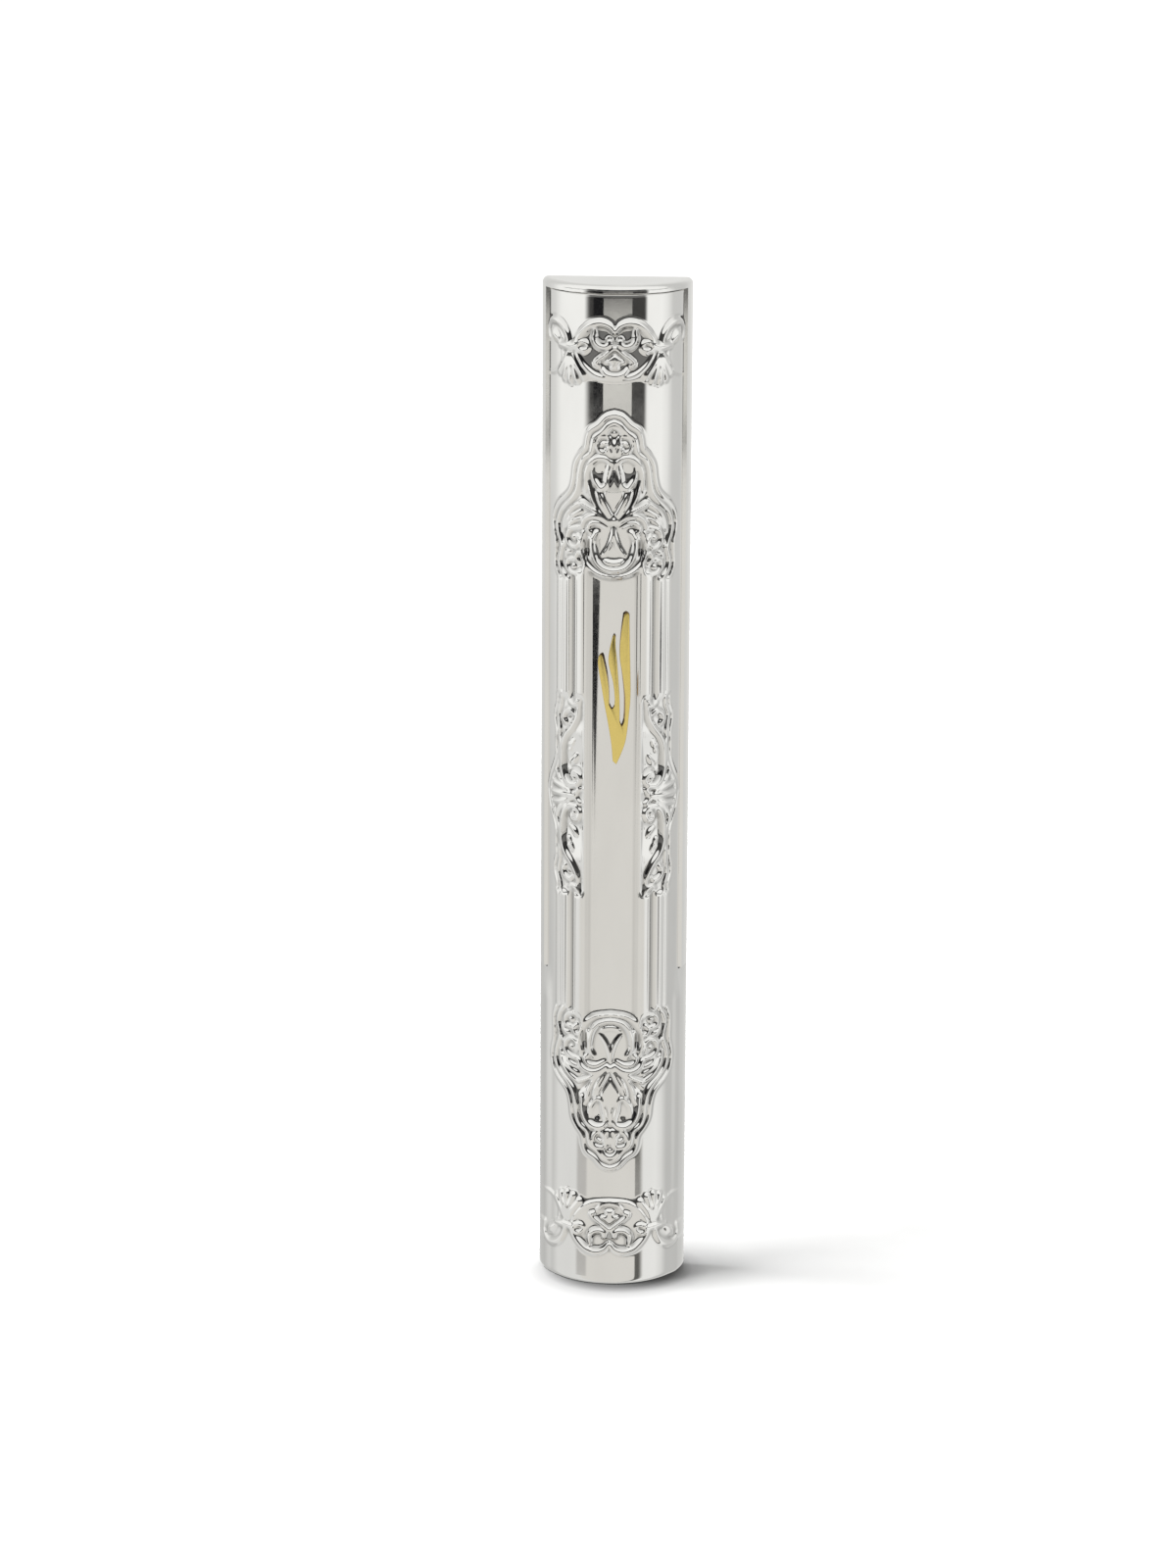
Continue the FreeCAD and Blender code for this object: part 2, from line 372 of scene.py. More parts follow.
@dataclass(frozen=True)
class FoamFinish:
    """White closed-cell foam tape."""

    name: str = "foam_tape"
    cell: Colour = (0.62, 0.62, 0.60)
    wall: Colour = (0.48, 0.48, 0.465)

    def material(self) -> bpy.types.Material:
        """Builds the foam, with small cells in its bump and colour.

        Returns:
            The node material.
        """
        tree = MaterialTree(self.name)
        place = tree.add("ShaderNodeTexCoord").outputs["Object"]
        cells = tree.add("ShaderNodeTexVoronoi", Vector=place, Scale=4200.0).outputs["Distance"]
        return tree.shade(Base_Color=tree.ramp(cells, (0.2, self.cell), (0.9, self.wall)),
                          Roughness=0.85, Normal=tree.bump(cells, 0.00003))


@dataclass(frozen=True)
class LinerFinish:
    """Siliconed kraft liner: warm tan paper with fibres and a low gloss."""

    name: str = "liner_paper"
    low: Colour = (0.36, 0.27, 0.15)
    high: Colour = (0.44, 0.34, 0.20)

    def material(self) -> bpy.types.Material:
        """Builds the liner.

        Returns:
            The node material.
        """
        tree = MaterialTree(self.name)
        fibres = tree.noise(2400.0, 6.0, (1.0, 1.0, 0.4))
        return tree.shade(Base_Color=tree.ramp(fibres, (0.3, self.low), (0.7, self.high)),
                          Roughness=tree.remap(fibres, 0.32, 0.5), Normal=tree.bump(fibres, 0.000012))


@dataclass(frozen=True)
class FloorFinish:
    """White paper sweep that glows brighter far from the case, with a painted shadow where the case meets
    it.

    The painted contact shadow is listed as distances in metres and how much of the floor's grey is left
    there.
    """

    name: str = "floor_white"
    grey: float = 0.42
    fleck: float = 0.01
    glow: float = 0.65
    glow_reach: Tuple[float, float] = (0.06, 0.6)
    # centre of the painted contact shadow
    middle: Point3 = (0.001, 0.002, 0.0)
    painted_contact_shadow: Tuple[Point2, ...] = (
        (0.0, 0.24), (0.0085, 0.24), (0.0098, 0.4), (0.0115, 0.68), (0.014, 0.84), (0.021, 0.97),
        (0.026, 1.0))

    def material(self) -> bpy.types.Material:
        """Builds the floor's paper.

        Returns:
            The node material.
        """
        tree = MaterialTree(self.name)
        place = tree.add("ShaderNodeTexCoord").outputs["Object"]
        away = tree.vector("LENGTH", tree.vector("SUBTRACT", place, self.middle))
        edge = self.painted_contact_shadow[-1][0]
        paper = tree.ramp(tree.noise(60.0), (0.3, (self.grey - self.fleck,) * 3),
                          (0.7, (self.grey + self.fleck,) * 3))
        # painted contact shadow round the case's foot
        near = tree.ramp(tree.remap(away, 0.0, 1.0, 0.0, edge),
                         *((reach / edge, (left,) * 3) for reach, left in self.painted_contact_shadow))
        return tree.shade(
            Base_Color=tree.vector("MULTIPLY", paper, near), Roughness=0.95, Specular_IOR_Level=0.0,
            Emission_Color=WHOLE,
            Emission_Strength=tree.remap(away, 0.0, self.glow, *self.glow_reach, "SMOOTHSTEP"))


# ---------------------------------------------------------------- curves and meshes


def smooth_curve(points: Sequence[Point2], per_span: int = 8) -> np.ndarray:
    """A Catmull-Rom curve through points.

    Args:
        points: the points it passes.
        per_span: samples on each span.

    Returns:
        An array of points, one row each.
    """
    p = np.array(points, float)
    if len(p) == 2:
        t = np.linspace(0.0, 1.0, 2 * per_span)[:, None]
        return p[0] * (1 - t) + p[1] * t
    ends = np.vstack([2 * p[0] - p[1], p, 2 * p[-1] - p[-2]])
    t = np.linspace(0.0, 1.0, per_span, endpoint=False)[:, None]
    spans = []
    for a, b, c, d in zip(ends[:-3], ends[1:-2], ends[2:-1], ends[3:]):
        spans.append(0.5 * (2 * b + (c - a) * t + (2 * a - 5 * b + 4 * c - d) * t ** 2
                            + (3 * b - a - 3 * c + d) * t ** 3))
    return np.vstack(spans + [p[-1:]])


def smoothstep(low: float, high: float, value: np.ndarray) -> np.ndarray:
    """Makes a smooth rise.

    Args:
        low: the value at which the rise is 0.
        high: the value at which it is 1.
        value: where to read it.

    Returns:
        The rise's height.
    """
    t = np.clip((value - low) / (high - low), 0.0, 1.0)
    return t * t * (3.0 - 2.0 * t)


def between(edges: Tuple[Point2, Point2], value: np.ndarray) -> np.ndarray:
    """Makes a smooth hump.

    Args:
        edges: where it rises from 0 to 1, and where it falls from 1 to 0.
        value: where to read it.

    Returns:
        The hump's height.
    """
    return smoothstep(*edges[0], value) * (1.0 - smoothstep(*edges[1], value))


def link_smooth(name: str, mesh: bpy.types.Mesh, sharp_angle: float) -> bpy.types.Object:
    """Shades a mesh smooth and puts it in the scene.

    Args:
        name: the object's name.
        mesh: its mesh.
        sharp_angle: edges sharper than this, in degrees, stay hard.

    Returns:
        The new object.
    """
    mesh.shade_smooth()
    mesh.set_sharp_from_angle(angle=math.radians(sharp_angle))
    piece = bpy.data.objects.new(name, mesh)
    bpy.context.scene.collection.objects.link(piece)
    return piece


def new_object(name: str, vertices: Iterable[Sequence[float]], faces: Iterable[Sequence[int]],
               sharp_angle: float = 35.0) -> bpy.types.Object:
    """Makes a mesh object from millimetre points.

    Args:
        name: the object's name.
        vertices: its points, in millimetres.
        faces: its faces, as lists of point numbers.
        sharp_angle: edges sharper than this, in degrees, stay hard.

    Returns:
        The new object, linked to the scene.
    """
    mesh = bpy.data.meshes.new(name)
    mesh.from_pydata([tuple(c * MM for c in v) for v in vertices], [], [tuple(f) for f in faces])
    mesh.validate()
    work = bmesh.new()
    work.from_mesh(mesh)
    bmesh.ops.recalc_face_normals(work, faces=work.faces)
    work.to_mesh(mesh)
    work.free()
    return link_smooth(name, mesh, sharp_angle)


def prism(name: str, plan: Sequence[Point2], low: float, high: float) -> bpy.types.Object:
    """Makes an upright solid.

    Args:
        name: the object's name.
        plan: its outline seen from above, in millimetres.
        low: height of its foot.
        high: height of its top.

    Returns:
        The new object.
    """
    n = len(plan)
    vertices = [(x, y, low) for x, y in plan] + [(x, y, high) for x, y in plan]
    faces: List[Face] = [(i, (i + 1) % n, n + (i + 1) % n, n + i) for i in range(n)]
    faces += [tuple(range(n - 1, -1, -1)), tuple(range(n, 2 * n))]
    return new_object(name, vertices, faces)


def dress(piece: bpy.types.Object, material: bpy.types.Material, body: str, node: str) -> None:
    """Gives a new piece its finish and its place in the model.

    Args:
        piece: the piece.
        material: its finish.
        body: the rigid body that it rides on.
        node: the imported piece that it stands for.
    """
    piece.data.materials.append(material)
    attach(piece, body)
    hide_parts(node)
    LOG.info("%s: %d faces on %s", piece.name, len(piece.data.polygons), body)


def refinish(node: str, material: bpy.types.Material) -> None:
    """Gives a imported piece, which keeps its own mesh, its finish.

    Args:
        node: the piece's name.
        material: its finish.
    """
    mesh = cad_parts[node].data
    mesh.materials.clear()
    mesh.materials.append(material)
    LOG.info("%s: %s", node, material.name)


# ---------------------------------------------------------------- embossing


FIELD_POWER = 6.0


def add_power(field_sum: np.ndarray, where: object, height: np.ndarray) -> None:
    """Joins a height into the field so that the highest wins and crossings stay soft.

    Args:
        field_sum: the field, changed in place.
        where: the places that the height belongs to.
        height: the height there.
    """
    field_sum[where] += np.maximum(height, 0.0) ** FIELD_POWER


def path_distance(path: np.ndarray, spot: np.ndarray) -> Tuple[np.ndarray, np.ndarray]:
    """How far each spot is from a path, and how far along the path its nearest place is.

    Args:
        path: points of the path.
        spot: the places to measure.

    Returns:
        The distances, and the places along the path from 0 to 1.
    """
    start, step = path[:-1], path[1:] - path[:-1]
    size = np.maximum((step ** 2).sum(1), 1e-12)
    along = np.clip(((spot[:, None] - start) * step).sum(2) / size, 0.0, 1.0)
    gap = ((spot[:, None] - start - along[..., None] * step) ** 2).sum(2)
    best = gap.argmin(1)
    rows = np.arange(len(best))
    return np.sqrt(gap[rows, best]), (best + along[rows, best]) / len(step)


@dataclass(frozen=True)
class Ridge:
    """One raised stroke of the ornament, on the unrolled cover.

    Points are arc length from the middle line and height above the floor, in millimetres. The
    half-width at the foot runs from the first value through the middle one to the last.
    """

    points: Tuple[Point2, ...]
    widths: Tuple[float, float, float]
    height: float
    spread: float = 1.1        # all widths are widened by this

    def raise_field(self, arc: np.ndarray, up: np.ndarray, field_sum: np.ndarray) -> None:
        """Adds this stroke to the field, in place."""
        path = smooth_curve(self.points)
        reach = self.spread * max(self.widths)
        low, high = path.min(0) - reach, path.max(0) + reach
        near = np.nonzero((arc > low[0]) & (arc < high[0]) & (up > low[1]) & (up < high[1]))[0]
        if not len(near):
            return
        gap, place = path_distance(path, np.stack([arc[near], up[near]], 1))
        first, middle, last = self.widths
        end = np.where(place < 0.5, first, last)
        width = self.spread * np.maximum(end + (middle - end) * np.sin(place * np.pi), 0.08)
        u = np.clip(gap / width, 0.0, 1.0)
        height = self.height * np.minimum(1.0, width / (self.spread * middle)) ** 0.7
        add_power(field_sum, near, height * (1.0 - u * u))


@dataclass(frozen=True)
class Plate:
    """A smooth raised face inside a closed outline, with rounded edges and a domed middle."""

    points: Tuple[Point2, ...]
    height: float
    soft: float
    dome: float = 0.0

    def raise_field(self, arc: np.ndarray, up: np.ndarray, field_sum: np.ndarray) -> None:
        """Adds this face to the field, in place."""
        path = smooth_curve(self.points + self.points[:1])
        low, high = path.min(0), path.max(0)
        near = np.nonzero((arc > low[0]) & (arc < high[0]) & (up > low[1]) & (up < high[1]))[0]
        x, y = arc[near], up[near]
        inside = np.zeros(len(near), bool)
        for (x1, y1), (x2, y2) in zip(path[:-1], path[1:]):
            crosses = (y1 > y) != (y2 > y)
            inside ^= crosses & (x < x1 + (x2 - x1) * (y - y1) / (y2 - y1 + 1e-12))
        depth = path_distance(path, np.stack([x, y], 1))[0] * inside
        face = self.height * smoothstep(0.0, self.soft, depth) + self.dome * depth * inside
        add_power(field_sum, near, face)


@dataclass(frozen=True)
class Boss:
    """An oval dome."""

    centre: Point2
    size: Point2
    height: float

    def raise_field(self, arc: np.ndarray, up: np.ndarray, field_sum: np.ndarray) -> None:
        """Adds this dome to the field, in place."""
        u = ((arc - self.centre[0]) / self.size[0]) ** 2 + ((up - self.centre[1]) / self.size[1]) ** 2
        add_power(field_sum, slice(None), self.height * np.clip(1.0 - u, 0.0, 1.0) ** 1.4)


@dataclass(frozen=True)
class Embossing:
    """The ornament of one quarter of the cover, repeated left and right, top and bottom.

    Outlines are arc lengths from the middle line and heights above the floor. Profiles are arc
    lengths and the moulding's height. Edges say where a zone rises from 0 to 1 and falls again.
    """

    mirror_height: float = 75.5
    boost: float = 1.3                 # how much higher the strokes are than written
    cover_depth: float = 0.3           # a stroke this high hides what is sunk under it
    rail_end: Tuple[Point2, ...] = (
        (0.0, 108.9), (2.2, 109.25), (3.6, 110.0), (4.6, 110.9), (5.0, 109.6), (6.0, 108.8), (8.0, 108.5),
        (10.0, 108.5))
    ornament_end: Point2 = (89.8, 90.8)
    band_width: Point2 = (5.0, 6.0)
    band_edges: Tuple[Point2, Point2] = ((137.6, 138.4), (144.8, 145.8))
    waist_edges: Tuple[Point2, Point2] = ((4.4, 5.2), (7.4, 8.6))
    hollow_edges: Tuple[Point2, Point2] = ((78.6, 80.6), (84.6, 87.0))
    outer_edge: Tuple[Point2, ...] = (
        (0.0, 132.6), (1.2, 132.2), (2.4, 131.0), (3.6, 130.2), (4.1, 129.2), (4.4, 127.6), (5.4, 126.4),
        (6.2, 125.0), (6.5, 123.0), (7.0, 121.3), (8.0, 120.2), (9.3, 119.2), (10.3, 118.0),
        (10.8, 116.6), (10.7, 115.0), (10.2, 113.4), (10.3, 110.8), (10.2, 109.6), (9.6, 108.5))
    inner_edge: Tuple[Point2, ...] = (
        (0.0, 131.5), (1.0, 131.0), (1.9, 129.95), (3.0, 129.15), (3.3, 128.0), (3.6, 126.8),
        (4.7, 125.9), (5.3, 124.6), (5.6, 122.6), (6.0, 121.0), (6.9, 119.8), (8.1, 118.8),
        (9.1, 117.8), (9.7, 116.4), (9.6, 115.0), (9.0, 113.6), (8.8, 112.3), (9.2, 111.0),
        (9.2, 110.0), (8.7, 109.0), (8.1, 108.4))
    rail_profile: Tuple[Point2, ...] = (
        (0.0, -0.26), (3.55, -0.26), (3.75, -0.08), (3.95, 0.02), (4.1, 0.34), (4.4, 0.42), (5.2, 0.44),
        (5.9, 0.4), (6.1, 0.36), (6.35, -0.25), (6.8, -0.25), (7.1, 0.18), (7.4, 0.24), (7.9, 0.24),
        (8.1, 0.36), (8.4, 0.3), (8.65, 0.14), (8.85, 0.36), (9.4, 0.38), (9.75, 0.24), (9.95, 0.0))
    waist_profile: Tuple[Point2, ...] = (
        (0.0, -0.26), (3.55, -0.26), (3.75, -0.08), (3.95, 0.02), (4.1, 0.34), (4.4, 0.34), (4.75, 0.04),
        (5.4, 0.0))

    def band(self) -> List[object]:
        """The scroll band near the cover's end."""
        return [
            Ridge(((0.05, 144.5), (0.8, 145.4), (2.1, 145.85), (3.7, 145.5), (5.0, 144.5), (5.9, 143.4),
                (6.3, 142.6)), (0.4, 0.62, 0.5), 0.4),
            Ridge(((3.0, 145.3), (3.1, 144.3), (3.1, 143.4), (2.5, 142.65), (1.5, 142.4), (0.7, 142.75)),
                (0.2, 0.52, 0.6), 0.42),
            Boss((0.8, 143.3), (0.7, 0.62), 0.4),
            Ridge(((4.0, 142.3), (4.6, 142.95), (5.3, 143.0), (5.8, 142.6)), (0.15, 0.34, 0.4), 0.4),
            Ridge(((4.0, 142.1), (4.8, 141.75), (5.7, 141.9)), (0.15, 0.4, 0.4), 0.4),
            Ridge(((5.7, 142.4), (7.4, 142.2), (9.5, 142.3)), (0.55, 0.68, 0.45), 0.45),
            Ridge(((7.5, 142.7), (8.0, 144.1), (9.2, 145.3), (10.9, 145.8), (12.4, 145.3), (13.1, 144.2),
                (12.8, 143.0)), (0.45, 0.58, 0.4), 0.4),
            Ridge(((9.4, 142.7), (10.3, 143.3), (11.1, 143.9), (11.6, 144.4)), (0.3, 0.8, 0.4), 0.4),
            Ridge(((6.1, 141.6), (5.5, 140.5), (4.6, 139.4), (3.2, 138.35), (1.8, 137.95), (0.0, 137.8)),
                (0.3, 0.34, 0.34), 0.3),
            Ridge(((9.0, 141.6), (8.9, 140.0), (9.8, 138.7), (11.2, 138.05), (13.0, 137.9)),
                (0.2, 0.28, 0.2), 0.14),
            Ridge(((0.0, 142.3), (1.2, 141.4), (2.3, 140.6), (2.9, 139.95), (2.4, 139.7)),
                (0.34, 0.38, 0.34), 0.42),
            Plate(((0.0, 141.6), (1.1, 140.75), (1.9, 140.15), (1.3, 140.05), (0.75, 139.9), (0.7, 139.1),
                (0.0, 138.95), (-0.7, 139.1), (-0.75, 139.9), (-1.3, 140.05), (-1.9, 140.15),
                (-1.1, 140.75)), 0.3, 0.3),
            Ridge(((1.9, 139.2), (1.5, 138.6), (0.8, 138.3), (0.0, 138.25)), (0.24, 0.36, 0.3), 0.38),
            self.lobe((6.8, 141.6), (4.9, 138.1)), self.lobe((7.0, 141.6), (6.0, 137.45)),
            self.lobe((7.2, 141.6), (7.2, 137.2)), self.lobe((7.4, 141.6), (8.35, 137.5)),
            self.lobe((7.6, 141.6), (9.4, 138.3)),
        ]

    @staticmethod
    def lobe(root: Point2, tip: Point2) -> Ridge:
        """One lobe of the fan, widest near its tip and bowed a little outward."""
        side = tip[0] - root[0]
        middle = (root[0] + 0.36 * side, (root[1] + tip[1]) / 2)
        return Ridge((root, middle, tip), (0.2, 0.55, 0.58), 0.36)

    def crest(self) -> List[object]:
        """The small palmette in the point of the frame."""
        return [
            Ridge(((0.0, 130.85), (0.7, 130.55), (1.15, 129.9), (0.95, 129.3)), (0.34, 0.36, 0.2), 0.34),
            Ridge(((0.0, 129.9), (0.4, 129.75)), (0.22, 0.22, 0.15), 0.24),
            Ridge(((0.0, 126.9), (0.15, 127.9), (0.25, 128.8)), (0.2, 0.26, 0.15), 0.36),
            Ridge(((0.3, 126.6), (0.75, 127.4), (0.8, 128.4), (0.55, 129.2)), (0.2, 0.34, 0.2), 0.38),
            Ridge(((0.85, 129.2), (1.7, 129.35), (2.5, 128.9), (2.65, 128.0), (2.3, 127.2), (1.6, 126.9)),
                (0.2, 0.34, 0.22), 0.36),
            Ridge(((1.2, 128.3), (1.7, 128.35), (2.0, 128.0)), (0.22, 0.3, 0.2), 0.3),
            Ridge(((0.6, 126.5), (1.1, 127.0), (1.3, 127.6)), (0.2, 0.3, 0.18), 0.3),
        ]

    def volutes(self) -> List[object]:
        """The large scrolls, the lozenge and the leaves that spread from the knot."""
        return [
            Ridge(((0.5, 125.5), (1.3, 126.1), (2.5, 126.15), (3.6, 125.4), (4.2, 124.2), (4.4, 122.8),
                (4.5, 121.6)), (0.3, 0.56, 0.3), 0.42),
            Ridge(((3.3, 124.9), (3.2, 123.4), (2.6, 122.3), (1.9, 121.7), (1.2, 122.3), (1.0, 123.4),
                (0.75, 124.6), (0.7, 125.3)), (0.2, 0.4, 0.25), 0.36),
            Plate(((0.0, 126.2), (0.25, 125.2), (0.3, 124.0), (0.85, 122.6), (1.6, 121.4), (1.4, 120.4),
                (0.7, 119.3), (0.0, 118.3), (-0.7, 119.3), (-1.4, 120.4), (-1.6, 121.4), (-0.85, 122.6),
                (-0.3, 124.0), (-0.25, 125.2)), 0.24, 0.25, 0.02),
            Ridge(((2.15, 121.3), (1.75, 120.3), (1.05, 119.0), (0.35, 117.7)), (0.2, 0.34, 0.28), 0.42),
            Ridge(((0.55, 117.3), (1.5, 118.6), (2.2, 119.9), (2.7, 121.4)), (0.2, 0.34, 0.18), 0.38),
            Ridge(((1.2, 117.5), (2.6, 118.9), (3.3, 120.2), (3.7, 121.6), (3.9, 122.6)),
                (0.2, 0.34, 0.16), 0.34),
            Ridge(((0.75, 117.0), (2.2, 118.0), (3.9, 118.9), (5.1, 119.4)), (0.2, 0.36, 0.4), 0.4),
            Ridge(((0.6, 116.5), (1.9, 117.35), (3.2, 117.6), (4.5, 117.0), (5.1, 115.9)),
                (0.25, 0.48, 0.34), 0.42),
            Ridge(((0.9, 115.9), (2.2, 116.6), (3.4, 116.5), (4.0, 115.7), (3.6, 115.1)),
                (0.2, 0.38, 0.3), 0.36),
            Boss((0.0, 117.0), (0.3, 0.65), 0.42),
            Ridge(((0.35, 116.6), (0.4, 117.4)), (0.22, 0.25, 0.22), 0.36),
            Ridge(((0.1, 116.2), (0.2, 114.6), (0.75, 113.0), (1.6, 111.8)), (0.16, 0.26, 0.16), 0.26),
        ]

    def shell(self) -> List[object]:
        """The round shell at the panel's end."""
        return [
            Ridge(((2.6, 115.2), (3.15, 114.2), (3.2, 112.8), (2.8, 111.2), (1.9, 110.15), (0.8, 109.7),
                (0.0, 109.6)), (0.3, 0.46, 0.5), 0.45),
            Ridge(((1.5, 111.1), (0.8, 110.75), (0.0, 110.65)), (0.2, 0.4, 0.4), 0.28),
            Ridge(((4.6, 111.0), (3.7, 109.8), (2.2, 108.95), (0.0, 108.6)), (0.36, 0.36, 0.36), 0.28),
            Ridge(((4.7, 115.2), (4.95, 113.8), (4.95, 112.2), (4.6, 110.9)), (0.25, 0.36, 0.3), 0.42),
            Ridge(((3.6, 114.6), (3.75, 112.9), (3.6, 111.3)), (0.15, 0.2, 0.15), 0.24),
        ]

    def wings(self) -> List[object]:
        """The leaves and curls that fill the frame's wide part."""
        return [
            Ridge(((5.4, 119.3), (6.5, 118.6), (7.6, 117.6), (8.4, 116.3), (8.7, 114.9)),
                (0.25, 0.5, 0.2), 0.4),
            Ridge(((5.2, 118.2), (6.3, 117.6), (7.3, 116.8), (8.1, 115.5)), (0.2, 0.4, 0.2), 0.36),
            Ridge(((5.2, 117.1), (6.2, 116.8), (7.1, 116.1), (7.6, 115.0)), (0.2, 0.36, 0.2), 0.34),
            Ridge(((5.5, 115.8), (6.5, 115.6), (7.4, 114.9), (7.6, 113.8), (6.9, 112.9), (5.9, 112.9),
                (5.4, 113.7), (5.7, 114.5)), (0.3, 0.46, 0.34), 0.42),
            Boss((6.5, 114.2), (0.5, 0.5), 0.4),
            Ridge(((4.9, 111.9), (5.6, 112.0), (6.0, 111.3), (5.5, 110.7)), (0.25, 0.36, 0.25), 0.38),
            Ridge(((5.2, 109.4), (5.9, 108.9), (6.9, 109.0), (7.6, 109.8), (7.4, 110.8), (6.5, 111.0)),
                (0.25, 0.46, 0.35), 0.42),
            Boss((6.5, 109.9), (0.5, 0.5), 0.36),
            Ridge(((6.9, 112.0), (7.7, 111.9), (8.2, 111.1)), (0.2, 0.36, 0.2), 0.34),
            Ridge(((8.1, 113.6), (8.3, 112.7)), (0.2, 0.3, 0.2), 0.3),
        ]

    def side(self) -> List[object]:
        """Half of the leaf ornament beside the panel, above its middle."""
        return [
            Ridge(((9.75, 90.6), (9.7, 89.2), (10.2, 87.9), (10.3, 86.6), (9.9, 85.0), (10.0, 83.0),
                (10.0, 81.0), (10.7, 79.4), (11.8, 77.6), (12.6, 75.5)), (0.3, 0.34, 0.34), 0.3),
            Ridge(((8.75, 90.6), (8.9, 89.0), (9.4, 87.6), (9.1, 85.6), (9.05, 83.0), (9.3, 80.6),
                (10.2, 78.6), (11.2, 77.0), (11.6, 75.5)), (0.28, 0.32, 0.32), 0.3),
            Ridge(((4.7, 90.4), (5.5, 89.8), (6.3, 89.2), (7.2, 89.6)), (0.2, 0.44, 0.25), 0.4),
            Ridge(((5.0, 90.2), (5.4, 88.9), (5.7, 87.3), (6.6, 85.7), (7.7, 84.4), (8.3, 83.0), (8.5, 81.0),
                (8.4, 79.2), (7.8, 77.8), (6.8, 77.1), (5.7, 77.2)), (0.25, 0.56, 0.5), 0.45),
            Ridge(((5.7, 77.2), (5.1, 77.9), (5.4, 78.8), (6.3, 79.1), (6.8, 78.4)), (0.4, 0.5, 0.3), 0.42),
            Boss((6.1, 78.1), (0.7, 0.7), 0.4),
            Ridge(((6.2, 87.8), (7.0, 88.4), (8.0, 87.8), (8.3, 86.9), (7.8, 86.4)),
                (0.25, 0.44, 0.36), 0.38),
            Ridge(((6.3, 83.9), (6.7, 83.1), (7.3, 83.2)), (0.15, 0.26, 0.15), 0.2),
            Ridge(((6.9, 82.5), (7.3, 82.0)), (0.2, 0.26, 0.2), 0.2),
            Ridge(((5.7, 81.6), (6.2, 80.8), (6.9, 80.3)), (0.15, 0.28, 0.2), 0.24),
            Ridge(((4.7, 76.6), (5.3, 76.5), (5.9, 75.9)), (0.2, 0.34, 0.25), 0.34),
            Ridge(((5.9, 75.5), (7.4, 75.5), (9.0, 75.5), (10.7, 75.5)), (0.4, 0.62, 0.6), 0.4),
            Ridge(((6.3, 76.0), (7.9, 76.4), (9.3, 76.8), (10.4, 77.0)), (0.3, 0.55, 0.5), 0.38),
            Ridge(((6.9, 76.5), (8.3, 77.2), (9.3, 78.0), (9.7, 78.8)), (0.25, 0.5, 0.4), 0.36),
        ]

    def grooves(self) -> List[object]:
        """Hollows between the leaves; their heights count downward."""
        return [
            Ridge(((4.9, 120.6), (3.7, 119.5), (2.5, 118.4), (1.4, 117.5)), (0.3, 0.4, 0.2), 0.16),
            Ridge(((3.0, 122.0), (2.7, 120.9)), (0.2, 0.3, 0.2), 0.14),
            Boss((2.05, 124.0), (0.85, 1.4), 0.12), Boss((1.7, 128.3), (0.8, 0.8), 0.14),
            Boss((4.25, 112.8), (0.5, 1.6), 0.3), Boss((0.0, 128.2), (0.3, 0.8), 0.1),
            Ridge(((2.6, 115.8), (3.3, 116.0), (3.9, 115.6)), (0.2, 0.3, 0.2), 0.1),
            Ridge(((10.4, 115.0), (10.1, 113.6), (9.7, 112.3)), (0.2, 0.3, 0.2), 0.1),
            Boss((7.5, 78.5), (0.6, 1.0), 0.2), Boss((5.5, 110.9), (0.4, 0.5), 0.12),
            Ridge(((6.7, 117.2), (7.8, 116.0), (8.5, 114.6)), (0.2, 0.3, 0.2), 0.1),
        ]

    @staticmethod
    def profile(points: Sequence[Point2], arc: np.ndarray) -> np.ndarray:
        """Reads a moulding, gently rounded.

        Args:
            points: the moulding's profile.
            arc: arc length from the middle line at each place.

        Returns:
            The moulding's height at each place.
        """
        fine = np.linspace(0.0, 16.0, 641)
        line = np.interp(fine, [p[0] for p in points], [p[1] for p in points])
        kernel = np.exp(-np.linspace(-2.0, 2.0, 11) ** 2)
        padded = np.pad(line, 5, mode="edge")
        return np.interp(arc, fine, np.convolve(padded, kernel / kernel.sum(), mode="valid"))

    def ground(self, arc: np.ndarray, up: np.ndarray) -> np.ndarray:
        """Works out the panel, the mouldings and the tilted fields between the strokes.

        Args:
            arc: arc length from the middle line at each place.
            up: height above the floor at each place.

        Returns:
            The ground's height at each place, below 0 where it is sunk.
        """
        above = smoothstep(*self.ornament_end, up)
        end = np.interp(arc, [p[0] for p in self.rail_end], [p[1] for p in self.rail_end])
        level = (self.profile(self.rail_profile, arc) * above
                 + self.profile(self.waist_profile, arc) * (1.0 - above))
        level = level * (1.0 - smoothstep(-0.5, 0.0, up - end))
        band = between(self.band_edges, up) * (1.0 - smoothstep(*self.band_width, arc))
        band_tilt = 0.045 * (140.4 - up) + 0.0085 * arc ** 2 - 0.08
        hollow = between(self.waist_edges, arc) * between(self.hollow_edges, up)
        return level + band * band_tilt + hollow * 0.06 * (up - 83.0)

